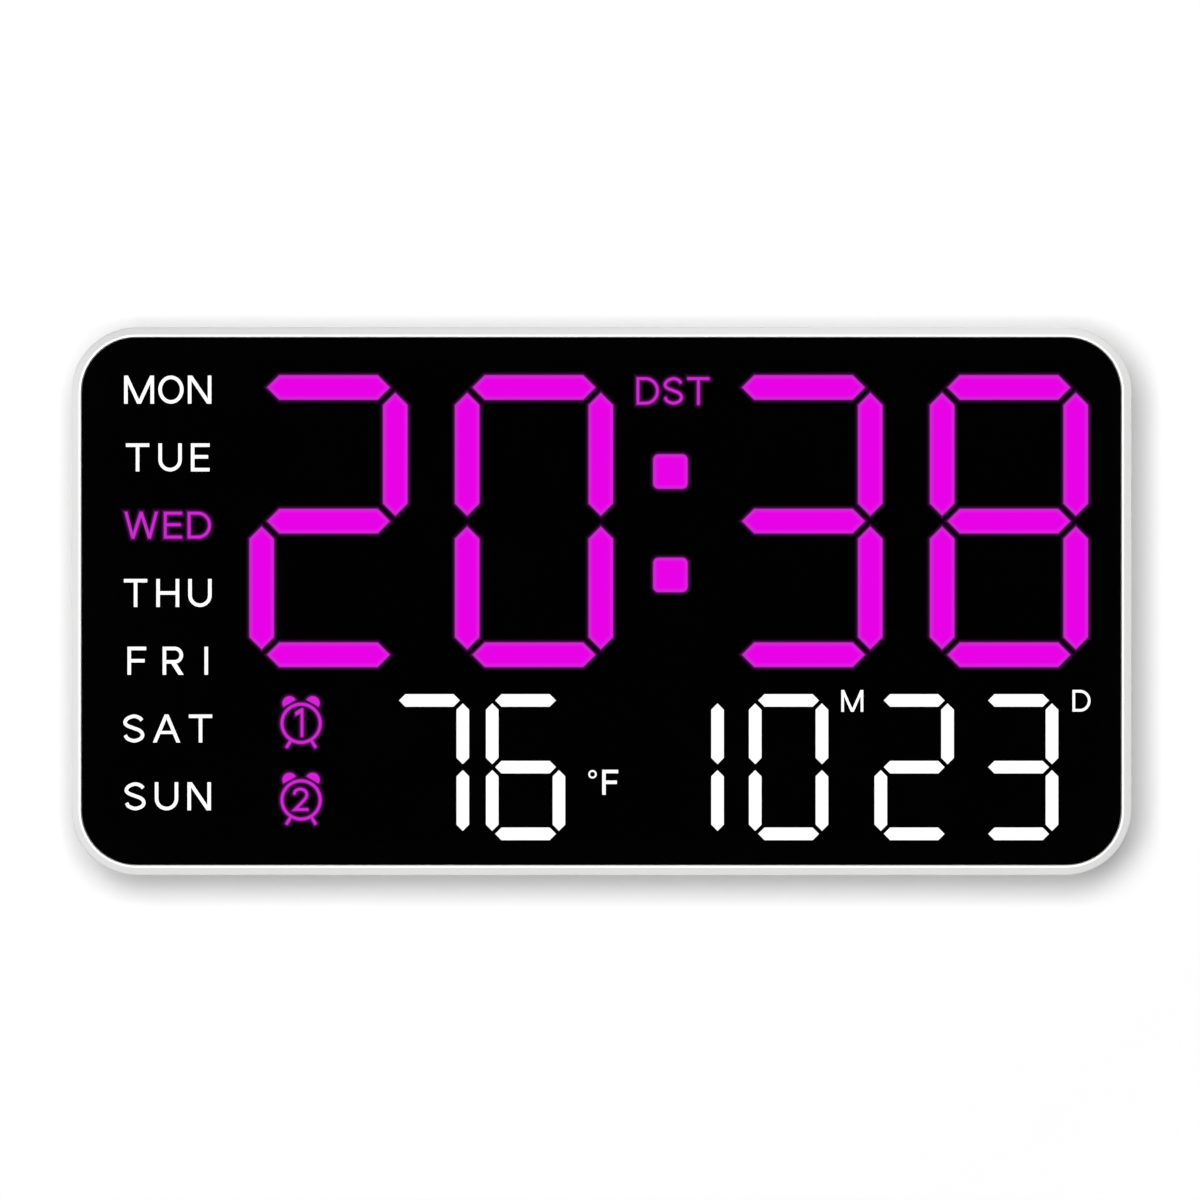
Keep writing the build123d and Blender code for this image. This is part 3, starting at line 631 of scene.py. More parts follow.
@dataclass(frozen=True)
class Capital:
    """Plain capital of even stroke in a box from its lower left corner; shares are parts of box or pen."""

    wide: float
    high: float
    pen: float
    arm_share: float = 0.92
    waist_share: float = 0.5
    waist_lift_share: float = 1 / 6
    bowl_share: float = 0.97
    head_share: float = 0.97
    head_foot_share: float = 0.46
    leg_share: float = 0.25
    leg_start_share: float = 0.41
    bar_share: float = 0.36
    bar_half_share: float = 0.43
    snake_shares: ClassVar[tuple[Pair, ...]] = (
        (0.96, 0.83), (0.83, 0.93), (0.51, 1.0), (0.14, 0.905), (0.0, 0.743), (0.14, 0.615), (0.5, 0.513),
        (0.87, 0.4), (1.0, 0.235), (0.87, 0.08), (0.51, 0.0), (0.15, 0.085), (0.01, 0.225))

    @property
    def box(self) -> tuple[float, float, float]:
        """Width, height and pen."""
        return self.wide, self.high, self.pen

    def line(self, *points: Pair) -> Stroke:
        """Straight runs through the points."""
        return Stroke(np.array(points), self.pen)

    def arm(self, level: float, end: float) -> Stroke:
        """Level run from the left stem to an end."""
        return self.line((self.pen, level), (end, level))

    def slant(self, run: float) -> float:
        """Level width of a slanting stroke that goes across the run over the height."""
        return self.pen * float(np.hypot(1, run / self.high))

    def draw_i(self) -> list[Mark]:
        """One stem at the right of its box."""
        place = self.wide - self.pen / 2
        return [self.line((place, 0), (place, self.high))]

    def draw_t(self) -> list[Mark]:
        """Bar with a stem under its middle.

        Returns:
            Marks of the letter.
        """
        wide, high, pen = self.box
        bar = self.line((0, high - pen / 2), (wide, high - pen / 2))
        return [bar, self.line((wide / 2, 0), (wide / 2, high - pen))]

    def draw_h(self) -> list[Mark]:
        """Two stems with a bar between them.

        Returns:
            Marks of the letter.
        """
        wide, high, pen = self.box
        stems = [self.line((place, 0), (place, high)) for place in (pen / 2, wide - pen / 2)]
        return [*stems, self.arm(self.waist_share * high, wide - pen)]

    def draw_e(self) -> list[Mark]:
        """Stem with an arm at the top, the waist and the foot.

        Returns:
            Marks of the letter.
        """
        wide, high, pen = self.box
        top, foot = high - pen / 2, pen / 2
        bracket = self.line((wide, top), (pen / 2, top), (pen / 2, foot), (wide, foot))
        waist = self.waist_share * high + self.waist_lift_share * pen
        return [bracket, self.arm(waist, self.arm_share * wide)]

    def draw_f(self) -> list[Mark]:
        """Stem with an arm at the top and the waist.

        Returns:
            Marks of the letter.
        """
        wide, high, pen = self.box
        hook = self.line((wide, high - pen / 2), (pen / 2, high - pen / 2), (pen / 2, 0))
        return [hook, self.arm(self.waist_share * high, self.arm_share * wide)]

    def draw_u(self) -> list[Mark]:
        """Two stems joined by a half round foot.

        Returns:
            Marks of the letter.
        """
        wide, high, pen = self.box
        reach = (wide - pen) / 2
        foot = arc((wide / 2, pen / 2 + reach), (reach, reach), 180, 360)
        return [Stroke(np.vstack(((pen / 2, high), foot, (wide - pen / 2, high))), pen)]

    def draw_o(self) -> list[Mark]:
        """Ring.

        Returns:
            Marks of the letter.
        """
        wide, high, pen = self.box
        ring = ellipse((wide / 2, high / 2), ((wide - pen) / 2, (high - pen) / 2), 2 * ARC_STEPS)
        return [Stroke(ring, pen, True)]

    def draw_d(self) -> list[Mark]:
        """Stem closed by a round bowl.

        Returns:
            Marks of the letter.
        """
        wide, high, pen = self.box
        reach = self.bowl_share * (high - pen) / 2
        bowl = arc((wide - pen / 2 - reach, high / 2), (reach, (high - pen) / 2), 90, -90)
        return [Stroke(np.vstack(((pen / 2, pen / 2), (pen / 2, high - pen / 2), bowl)), pen, True)]

    def draw_r(self) -> list[Mark]:
        """Stem with a bowl at its head and a leg below that.

        Returns:
            Marks of the letter.
        """
        wide, high, pen = self.box
        waist = self.head_foot_share * high
        reach = (high - pen / 2 - waist) / 2
        bowl = arc((self.head_share * wide - pen / 2 - reach, waist + reach), (reach, reach), 90, -90)
        path = np.vstack(((pen / 2, 0), (pen / 2, high - pen / 2), bowl, (pen, waist)))
        under, start, leg = waist - pen / 2, self.leg_start_share * wide, self.leg_share * wide
        corners = ((start, under), (start + leg, under), (wide, 0), (wide - leg, 0))
        return [Stroke(path, pen), Patch(np.array(corners))]

    def draw_s(self) -> list[Mark]:
        """Double bend through the shares of the box."""
        snake = np.array(self.snake_shares) * (self.wide - self.pen, self.high - self.pen) + self.pen / 2
        return [Stroke(smooth([tuple(point) for point in snake]), self.pen)]

    def draw_n(self) -> list[Mark]:
        """Two stems and a diagonal from the upper left to the lower right corner.

        Returns:
            Marks of the letter.
        """
        wide, high, pen = self.box
        flat = self.slant(wide - pen)
        fall = high * pen / (wide - flat)
        corners = ((0, 0), (0, high), (flat, high), (wide - pen, fall), (wide - pen, high), (wide, high),
                   (wide, 0), (wide - flat, 0), (pen, high - fall), (pen, 0))
        return [Patch(np.array(corners))]

    def draw_m(self) -> list[Mark]:
        """Two stems and a deep notch that comes down to the foot.

        Returns:
            Marks of the letter.
        """
        wide, high, pen = self.box
        flat = self.slant(wide / 2 - pen)
        run = (wide - flat) / 2
        notch = high * (flat - (wide - 2 * run) / 2) / run
        fall = high * pen / run
        corners = ((0, 0), (0, high), (flat, high), (wide / 2, notch), (wide - flat, high), (wide, high),
                   (wide, 0), (wide - pen, 0), (wide - pen, high - fall), (wide - run, 0), (run, 0),
                   (pen, high - fall), (pen, 0))
        return [Patch(np.array(corners))]

    def draw_w(self) -> list[Mark]:
        """Four slanting strokes with two points at the foot and one at the top.

        Returns:
            Marks of the letter.
        """
        wide, high = self.wide, self.high
        flat = self.slant(wide / 4)
        run, half, middle = (wide - 2 * flat) / 4, flat / 2, wide / 2
        low = high * half / run
        corners = ((0, high), (run, 0), (run + flat, 0), (middle, high - low), (wide - run - flat, 0),
                   (wide - run, 0), (wide, high), (wide - flat, high), (wide - run - half, low),
                   (middle + half, high), (middle - half, high), (run + half, low), (flat, high))
        return [Patch(np.array(corners))]

    def draw_a(self) -> list[Mark]:
        """Two slanting legs with a bar between them.

        Returns:
            Marks of the letter.
        """
        wide, high, pen = self.box
        flat = self.slant(wide / 2 - pen / 2)
        run = (wide - flat) / 2
        peak = high * (wide / 2 - flat) / run
        legs = ((0, 0), (run, high), (wide - run, high), (wide, 0), (wide - flat, 0), (wide / 2, peak),
                (flat, 0))
        half = self.bar_half_share * pen
        low, top = self.bar_share * high - half, self.bar_share * high + half
        start, end = flat + low * run / high, flat + top * run / high
        bar = ((start, low), (wide - start, low), (wide - end, top), (end, top))
        return [Patch(np.array(legs)), Patch(np.array(bar))]


@dataclass(frozen=True)
class Letters:
    """Capitals of one height and pen; the width shares are parts of the height."""

    height: float
    pen: float
    squeeze: float = 1.0
    width_shares: ClassVar[dict[str, float]] = {
        "M": 1.063, "O": 0.9, "N": 0.836, "T": 0.833, "U": 0.832, "E": 0.666, "W": 1.252, "D": 0.872,
        "H": 0.815, "F": 0.666, "R": 0.751, "I": 0.28, "S": 0.748, "A": 0.979}

    def width(self, letter: str) -> float:
        """Width of a letter's box."""
        return self.width_shares[letter] * self.height * self.squeeze

    def letter(self, letter: str) -> list[Mark]:
        """Marks of one letter."""
        capital = Capital(self.width(letter), self.height, self.pen)
        return getattr(capital, f"draw_{letter.lower()}")()

    def word(self, text: str, span: float) -> list[Mark]:
        """Word with even gaps.

        Args:
            text: the letters.
            span: width of the whole word.

        Returns:
            Marks about the word's middle.
        """
        widths = np.array([self.width(letter) for letter in text])
        gap = (span - widths.sum()) / max(len(text) - 1, 1)
        starts = np.cumsum(widths + gap) - widths - gap - span / 2
        return [mark for letter, start in zip(text, starts)
                for mark in moved(self.letter(letter), (start, -self.height / 2))]


def placed(name: str, data: bpy.types.ID) -> bpy.types.Object:
    """Add an object to the scene.

    Args:
        name: its name.
        data: its mesh, light or camera.

    Returns:
        The object, at the origin.
    """
    thing = bpy.data.objects.new(name, data)
    bpy.context.scene.collection.objects.link(thing)
    return thing


@dataclass
class Relief:
    """Marks that stand out from a plane across Y, gathered into one mesh."""

    seat: float
    rise: float
    mirrored: bool = False
    sink: float = 0.02e-3
    run_out: float = 0.0
    end_share: float = 0.04
    points: list[np.ndarray] = field(default_factory=list)
    faces: list[list[int]] = field(default_factory=list)

    def count(self) -> int:
        """Number of points so far."""
        return sum(len(block) for block in self.points)

    def section(self, width: float) -> np.ndarray:
        """Section of a stroke: how far each of its points is off the path, and its share of the rise."""
        return np.array(((width / 2, 1), (-width / 2, 1), (-width / 2, 0), (width / 2, 0)))

    def levels(self, mark: Patch) -> list[tuple[np.ndarray, float]]:
        """Outlines of a patch from the seat to the top, each with its share of the rise."""
        return [(mark.corners, 0.0), (mark.corners, 1.0)]

    def lift(self, flat: np.ndarray, middle: Pair, share: float | np.ndarray) -> np.ndarray:
        """Points of the plane at a share of the rise.

        Args:
            flat: points about a middle, one row each.
            middle: X and Z of the middle.
            share: share of the rise, for all points or for each one.

        Returns:
            Points in space, one row each.
        """
        side = -1 if self.mirrored else 1
        outward = np.sign(self.rise)
        depth = self.seat - outward * self.sink + share * (self.rise + outward * self.sink)
        depths = np.broadcast_to(depth, len(flat))
        return np.column_stack((middle[0] + side * flat[:, 0], depths, middle[1] + flat[:, 1]))

    def add(self, marks: Sequence[Mark], middle: Pair) -> None:
        """Add marks.

        Args:
            marks: strokes and patches about a middle.
            middle: X and Z of the middle.
        """
        for mark in marks:
            if isinstance(mark, Stroke):
                self.add_stroke(mark, middle)
            else:
                self.add_patch(mark, middle)

    def add_stroke(self, mark: Stroke, middle: Pair) -> None:
        """Carry the section along the path: each of its points is moved off along the mitred normal.

        Args:
            mark: the stroke.
            middle: X and Z of its middle.
        """
        path, shares = mark.path, self.section(mark.width)
        steps = np.diff(np.vstack((path, path[:1])), axis=0)
        if mark.closed:
            after, before = steps, np.roll(steps, 1, 0)
        else:
            after, before = np.vstack((steps[:-1], steps[-2:-1])), np.vstack((steps[:1], steps[:-1]))
        normals = [np.column_stack((-step[:, 1], step[:, 0])) / np.hypot(step[:, 0], step[:, 1])[:, None]
                   for step in (before, after)]
        spread = 1 + (normals[0] * normals[1]).sum(1, keepdims=True)
        mitre = (normals[0] + normals[1]) / spread
        heights = np.repeat(shares[None, :, 1], len(path), 0)
        if self.run_out and not mark.closed:
            out = np.array((steps[0], steps[-2])) / np.hypot(*np.array((steps[0], steps[-2])).T)[:, None]
            path = np.vstack((path[0] - self.run_out * out[0], path, path[-1] + self.run_out * out[1]))
            mitre = np.vstack((mitre[:1], mitre, mitre[-1:]))
            heights = np.vstack((self.end_share * heights[:1], heights, self.end_share * heights[-1:]))
        flat = path[:, None] + mitre[:, None] * shares[None, :, :1]
        start, size, sides = self.count(), len(path), len(shares)
        here = sides * np.arange(size if mark.closed else size - 1)[:, None]
        ahead = (here + sides) % (sides * size)
        corner = np.arange(sides)[None, :]
        turned = (corner + 1) % sides
        quads = np.stack((here + corner, here + turned, ahead + turned, ahead + corner), axis=-1)
        self.points.append(self.lift(flat.reshape(-1, 2), middle, heights.reshape(-1)))
        self.faces += (start + quads.reshape(-1, 4)).tolist()
        if not mark.closed:
            ends = np.arange(sides) + np.array(((0,), (sides * (size - 1),)))
            self.faces += (start + ends).tolist()

    def add_patch(self, mark: Patch, middle: Pair) -> None:
        """Outlines from the seat to the top, joined all round, with the first and the last one filled.

        Args:
            mark: the patch.
            middle: X and Z of its middle.
        """
        levels = self.levels(mark)
        start, size = self.count(), len(mark.corners)
        self.points += [self.lift(outline, middle, share) for outline, share in levels]
        around = np.arange(size)
        storey = size * np.arange(len(levels) - 1)[:, None]
        lower, ahead = storey + around, storey + (around + 1) % size
        walls = np.stack((lower, ahead, size + ahead, size + lower), axis=-1)
        self.faces += (start + walls.reshape(-1, 4)).tolist()
        self.faces += [(start + around).tolist(), (start + size * (len(levels) - 1) + around).tolist()]

    def make(self, name: str, material: bpy.types.Material, body: str, slot: str) -> bpy.types.Object:
        """Turn the marks into one piece.

        Args:
            name: name of the piece.
            material: its material.
            body: body that it rides on.
            slot: material slot of the record; not used.

        Returns:
            The piece.
        """
        mesh = bpy.data.meshes.new(name)
        mesh.from_pydata(np.vstack(self.points).tolist(), [], self.faces)
        shell = bmesh.new()
        shell.from_mesh(mesh)
        bmesh.ops.recalc_face_normals(shell, faces=shell.faces)
        shell.to_mesh(mesh)
        shell.free()
        mesh.materials.append(material)
        piece = placed(name, mesh)
        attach(piece, body)
        LOG.info("%s: %d faces on %s", name, len(mesh.polygons), body)
        return piece


@dataclass
class GlowRelief(Relief):
    """Marks with a long skirt all round, so that the highest surface tells how far the nearest edge is."""

    inner: float = 0.95e-3
    edge_share: float = 0.72

    def peak(self, depth: float) -> float:
        """Share of the rise at a depth inside the edge."""
        return self.edge_share + (1 - self.edge_share) * min(1.0, depth / self.inner)

    def section(self, width: float) -> np.ndarray:
        """Roof: it climbs from the end of the skirt to the edge, and on to a ridge over the path."""
        half, skirt, edge = width / 2, width / 2 + self.run_out, self.edge_share
        return np.array(((skirt, 0), (half, edge), (0, self.peak(half)), (-half, edge), (-skirt, 0)))

    def levels(self, mark: Patch) -> list[tuple[np.ndarray, float]]:
        """Foot, end of the skirt, edge, and the core if there is one.

        Args:
            mark: the patch.

        Returns:
            Each outline with its share of the rise.
        """
        corners = mark.corners
        rows = [(corners, 0.0), (widened(corners, self.run_out), 0.0), (corners, self.edge_share)]
        if mark.core:
            rows.append((widened(corners, -mark.core), self.peak(mark.core)))
        return rows


@dataclass(frozen=True)
class Photo:
    """Where the case lies in the square frame of the photograph, in its pixels."""

    side: float = 1200.0
    left: float = 71.3
    right: float = 1131.4
    top: float = 327.4
    bottom: float = 874.9

    @property
    def pixel(self) -> float:
        """Length of one pixel on the face."""
        low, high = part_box("front_frame")
        return (high.x - low.x) / (self.right - self.left)

    def point(self, across: float, down: float) -> Pair:
        """X and Z of a pixel.

        Args:
            across: pixels from the left.
            down: pixels from the top.

        Returns:
            The place on the face.
        """
        low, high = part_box("front_frame")
        middle = (low + high) / 2
        return (middle.x + (across - (self.left + self.right) / 2) * self.pixel,
                middle.z - (down - (self.top + self.bottom) / 2) * self.pixel)


@dataclass
class Display:
    """Words, letters and symbols of the display, as lit marks on the black film behind the panel."""

    photo: Photo
    wardrobe: Wardrobe
    rise: float = 0.15e-3
    glow_rise: float = 0.2e-3
    halo: float = 5.0
    inner: float = 4.0
    bar_inset: float = 0.8
    bar_stretch: float = 1.3
    bar_slimness: float = 1.5
    today_cap: float = 26.5
    today_pen: float = 2.6
    today_trim: float = 1.6
    cap: float = 28.1
    pen: float = 3.55
    column: float = 167.4
    first_row: float = 389.45
    row_pitch: float = 67.83
    today: str = "WED"
    week_spans: ClassVar[dict[str, float]] = {
        "MON": 87.3, "TUE": 83.8, "WED": 87.9, "THU": 87.8, "FRI": 80.6, "SAT": 89.0, "SUN": 86.4}
    summer_middle: Pair = (672.85, 390.75)
    summer_span: float = 72.3
    summer_cap: float = 27.1
    summer_pen: float = 2.5
    summer_squeeze: float = 0.935
    month_middle: Pair = (852.5, 700.95)
    day_middle: Pair = (1081.9, 700.85)
    marker_cap: float = 21.8
    marker_pen: float = 2.7
    marker_squeeze: float = 0.953
    unit_middle: Pair = (610.2, 782.4)
    unit_cap: float = 25.0
    unit_pen: float = 3.5
    unit_squeeze: float = 0.96
    degree_middle: Pair = (592.5, 774.4)
    degree_radius: float = 3.35
    degree_pen: float = 1.8
    alarm_middles: tuple[Pair, Pair] = ((300.85, 723.4), (300.85, 800.1))
    ring_radius: float = 19.15
    ring_pen: float = 2.7
    bell_radius: float = 6.9
    bell_core: float = 2.0
    bell_reach: float = 23.2
    bell_angles: Pair = (120.0, 60.0)
    foot_angles: Pair = (239.0, 301.0)
    foot_start: float = 20.9
    foot_end: float = 28.2
    figure_pen: float = 2.5
    one_stem: float = 0.9
    one_foot: float = -13.2
    one_top: float = 14.6
    one_flag_foot: float = 9.9
    one_flag_end: tuple[Pair, Pair] = ((-5.6, 7.7), (-5.6, 11.2))
    two_scale: float = 0.8
    two_hook: tuple[Pair, ...] = (
        (-8.6, 7.3), (-7.2, 10.9), (-3.6, 13.2), (0.6, 13.4), (4.6, 11.7), (6.9, 8.3), (6.7, 4.3),
        (4.3, 0.4), (-0.9, -5.2), (-7.6, -12.0))
    two_foot: Pair = (8.6, -12.0)
    border_edge: float = 0.15e-3
    border_width: float = 5.4e-3
    border_radius: float = 13e-3
    border_rise: float = 0.05e-3
    weld: float = 1e-6
    flatness: float = 0.01
    facing: float = -0.99

    def scaled(self, cap: float, pen: float, squeeze: float = 1.0) -> Letters:
        """Letters of a size given in pixels."""
        return Letters(cap * self.photo.pixel, pen * self.photo.pixel, squeeze)

    def relief(self) -> Relief:
        """Empty relief on the front of the film."""
        return Relief(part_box("display_mask")[0].y, -self.rise)

    def glow_relief(self) -> GlowRelief:
        """Empty relief for marks with a halo."""
        pixel = self.photo.pixel
        return GlowRelief(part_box("display_mask")[0].y, -self.glow_rise, run_out=self.halo * pixel,
                          inner=self.inner * pixel)

    def glow_material(self) -> bpy.types.Material:
        """Material whose light follows the height of such a relief.

        Returns:
            The material.
        """
        shape = self.glow_relief()
        climb = shape.edge_share * (self.glow_rise + shape.sink)
        finish = GlowingMark(Glow.MAGENTA.value, Glow.PALE_MAGENTA.value, self.wardrobe.mark_light,
                             shape.seat, climb - shape.sink, self.glow_rise, shape.run_out / climb)
        return self.wardrobe.material("glowing_mark", finish)

    def bars(self, node: str) -> list[Mark]:
        """Outlines of the lit fronts of a node's solids, drawn in by the inset.

        Args:
            node: name of the node.

        Returns:
            One patch for each solid.
        """
        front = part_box(node)[0].y
        shell = bmesh.new()
        shell.from_mesh(frame["nodes"][node].data)
        bmesh.ops.remove_doubles(shell, verts=shell.verts, dist=self.weld)
        bmesh.ops.dissolve_limit(shell, angle_limit=self.flatness, verts=shell.verts, edges=shell.edges)
        outlines = [np.array([(corner.co.x, corner.co.z) for corner in face.verts]) for face in shell.faces
                    if face.normal.y < self.facing and abs(face.calc_center_median().y - front) < self.weld]
        shell.free()
        pixel = self.photo.pixel
        return [Patch(self.stretched(widened(outline, -self.bar_inset * pixel)), self.inner * pixel)
                for outline in outlines]

    def stretched(self, outline: np.ndarray) -> np.ndarray:
        """Outline of a long bar with both halves moved out along the bar; a square one stays as it is.

        Args:
            outline: corners, one row each.

        Returns:
            The moved corners.
        """
        low, high = outline.min(0), outline.max(0)
        slim = high - low > self.bar_slimness * (high - low)[::-1]
        return outline + np.sign(outline - (low + high) / 2) * slim * self.bar_stretch * self.photo.pixel

    def build(self) -> None:
        """Make the white and the coloured marks."""
        self.border()
        white, colour = self.wardrobe.of_slot("white_light"), self.glow_material()
        pixel = self.photo.pixel
        for node in ("time_segments_lit", "colon_dots"):
            sheets = self.glow_relief()
            sheets.add(self.bars(node), (0.0, 0.0))
            sheets.make(f"{node}_glow", colour, "case", "magenta_light")
        rest, today = self.relief(), self.glow_relief()
        for row, (day, span) in enumerate(self.week_spans.items()):
            place = self.photo.point(self.column, self.first_row + row * self.row_pitch)
            if day == self.today:
                letters = self.scaled(self.today_cap, self.today_pen)
                today.add(letters.word(day, (span - self.today_trim) * pixel), place)
            else:
                letters = self.scaled(self.cap, self.pen)
                rest.add(letters.word(day, span * pixel), place)
        rest.make("weekday_names", white, "case", "white_light")
        today.make("weekday_today", colour, "case", "magenta_light")
        self.units().make("unit_letters", white, "case", "white_light")
        summer = self.glow_relief()
        letters = self.scaled(self.summer_cap, self.summer_pen, self.summer_squeeze)
        summer.add(letters.word("DST", self.summer_span * pixel), self.photo.point(*self.summer_middle))
        summer.make("summer_time_mark", colour, "case", "magenta_light")
        alarms = self.glow_relief()
        for middle, figure in zip(self.alarm_middles, (self.figure_one(), self.figure_two())):
            alarms.add(self.bell_clock() + figure, self.photo.point(*middle))
        alarms.make("alarm_symbols", colour, "case", "magenta_light")

    def border(self) -> None:
        """Black print round the back of the panel: a broad stroke along a rectangle with round corners."""
        low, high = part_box("front_lens")
        inset = self.border_edge + self.border_width / 2
        radius = self.border_radius - inset
        reach = np.array((high.x - low.x, high.z - low.z)) / 2 - inset - radius
        turns = ((1, 1, 0), (-1, 1, 90), (-1, -1, 180), (1, -1, 270))
        path = np.vstack([arc((side * reach[0], end * reach[1]), (radius, radius), turn, turn + 90)
                          for side, end, turn in turns])
        relief = Relief(high.y, self.border_rise)
        middle = (low + high) / 2
        relief.add([Stroke(path, self.border_width, True)], (middle.x, middle.z))
        relief.make("panel_border", self.wardrobe.of_slot("black_film"), "case", "black_film")

    def units(self) -> Relief:
        """Degree ring and unit letter, and the letters for month and day.

        Returns:
            The marks in one relief.
        """
        pixel, relief = self.photo.pixel, self.relief()
        marker = self.scaled(self.marker_cap, self.marker_pen, self.marker_squeeze)
        relief.add(marker.word("M", marker.width("M")), self.photo.point(*self.month_middle))
        relief.add(marker.word("D", marker.width("D")), self.photo.point(*self.day_middle))
        unit = self.scaled(self.unit_cap, self.unit_pen, self.unit_squeeze)
        relief.add(unit.word("F", unit.width("F")), self.photo.point(*self.unit_middle))
        ring = Stroke(ellipse((0, 0), (self.degree_radius, self.degree_radius)) * pixel,
                      self.degree_pen * pixel, True)
        relief.add([ring], self.photo.point(*self.degree_middle))
        return relief

    def bell_clock(self) -> list[Mark]:
        """Small clock: a ring, two half round bells above it and two feet below it.

        Returns:
            Marks about the middle of the ring.
        """
        pixel = self.photo.pixel
        ring = ellipse((0, 0), (self.ring_radius, self.ring_radius), 3 * ARC_STEPS)
        marks: list[Mark] = [Stroke(ring * pixel, self.ring_pen * pixel, True)]
        for angle in self.bell_angles:
            seat = arc((0, 0), (self.bell_reach, self.bell_reach), angle, angle, 1)[0]
            dome = arc(tuple(seat), (self.bell_radius, self.bell_radius), angle - 90, angle + 90)
            marks.append(Patch(dome * pixel, self.bell_core * pixel))
        for angle in self.foot_angles:
            turn = np.radians(angle)
            path = np.outer((self.foot_start, self.foot_end), (np.cos(turn), np.sin(turn)))
            marks.append(Stroke(path * pixel, self.ring_pen * pixel))
        return marks

    def figure_one(self) -> list[Mark]:
        """Stem with a short flag to its left.

        Returns:
            Marks about the figure's middle.
        """
        pixel, pen, place = self.photo.pixel, self.figure_pen, self.one_stem
        side = place - pen / 2
        stem = np.array(((place, self.one_foot), (place, self.one_top)))
        flag = np.array(((side, self.one_top), (side, self.one_flag_foot), *self.one_flag_end))
        return [Stroke(stem * pixel, pen * pixel), Patch(flag * pixel)]

    def figure_two(self) -> list[Mark]:
        """Hooked curve that runs down to a level foot."""
        path = np.vstack((smooth(self.two_hook), self.two_foot)) * self.two_scale
        return [Stroke(path * self.photo.pixel, self.figure_pen * self.photo.pixel)]


@dataclass
class BackLegends:
    """Printed legends beside the push buttons on the back, read from behind."""

    wardrobe: Wardrobe
    rise: float = 0.06e-3
    gap: float = 3.2e-3
    cap: float = 2.6e-3
    pen: float = 0.42e-3
    track: float = 0.55e-3
    sign: float = 2.6e-3
    bell: float = 1.5e-3
    dome_share: float = 0.82
    brim_drop_share: float = 0.2
    clapper_drop_share: float = 0.55
    thick_share: float = 0.3

    def build(self) -> None:
        """One legend beside each button: two words, two signs and a bell."""
        relief = Relief(0.0, self.rise, True)
        letters = Letters(self.cap, self.pen)
        for button, marks, width in (
                ("set_button", *self.spaced(letters, "SET")),
                ("up_button", self.plus(), self.sign),
                ("down_button", self.minus(), self.sign),
                ("alarm_button", self.small_bell(), self.sign),
                ("mode_button", *self.spaced(letters, "MODE"))):
            low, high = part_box(button)
            relief.add(marks, (high.x + self.gap + width / 2, (low.z + high.z) / 2))
        material = self.wardrobe.material("legend_print", self.wardrobe.legend_print)
        relief.make("button_legends", material, "case", "button_grey")

    def spaced(self, letters: Letters, text: str) -> tuple[list[Mark], float]:
        """Word with the usual gap between its letters, and its width."""
        span = sum(letters.width(letter) for letter in text) + self.track * (len(text) - 1)
        return letters.word(text, span), span

    def minus(self) -> list[Mark]:
        """Level bar."""
        return [Stroke(np.array(((-self.sign / 2, 0), (self.sign / 2, 0))), self.pen)]

    def plus(self) -> list[Mark]:
        """Level bar with a half stem above and below it."""
        runs = [np.array(((0, side * self.pen / 2), (0, side * self.sign / 2))) for side in (1, -1)]
        return self.minus() + [Stroke(run, self.pen) for run in runs]

    def small_bell(self) -> list[Mark]:
        """Dome on a level brim with a round clapper below it.

        Returns:
            Marks about the foot of the dome.
        """
        size, thick = self.bell, self.thick_share * self.bell
        dome = arc((0, 0), (self.dome_share * size, size), 0, 180)
        brim = np.array(((-size, -self.brim_drop_share * size), (size, -self.brim_drop_share * size)))
        clapper = arc((0, -self.clapper_drop_share * size), (thick, thick), 180, 360)
        return [Patch(dome), Stroke(brim, thick), Patch(clapper)]


@dataclass(frozen=True)
class Lamp:
    """Soft oblong lamp that looks at the clock; the level is its power for each square metre."""

    name: str
    place: Place
    size: Pair
    level: float
    bounces: int = 16

    def build(self, target: Vector) -> None:
        """Hang the lamp at its place about the target.

        Args:
            target: what it looks at.
        """
        data = bpy.data.lights.new(self.name, "AREA")
        data.shape = "RECTANGLE"
        data.size, data.size_y = self.size
        data.energy = self.level * self.size[0] * self.size[1]
        data.cycles.max_bounces = self.bounces
        lamp = placed(self.name, data)
        lamp.location = target + Vector(self.place)
        lamp.rotation_mode = "QUATERNION"
        lamp.rotation_quaternion = (-Vector(self.place)).to_track_quat("-Z", "Y")
        lamp.visible_camera = False


class Ray(Enum):
    """Kinds of rays that a sheet can be hidden from, each with the object's switch for it."""

    CAMERA = "visible_camera"
    DIFFUSE = "visible_diffuse"
    GLOSSY = "visible_glossy"
    SHADOW = "visible_shadow"
    CLEAR = "visible_transmission"


def oblong(centre: Vector, side: Vector, rise: Vector) -> list[Vector]:
    """Corners of an oblong about its centre; its front looks along the cross product of side and rise."""
    return [centre - side - rise, centre + side - rise, centre + side + rise, centre - side + rise]


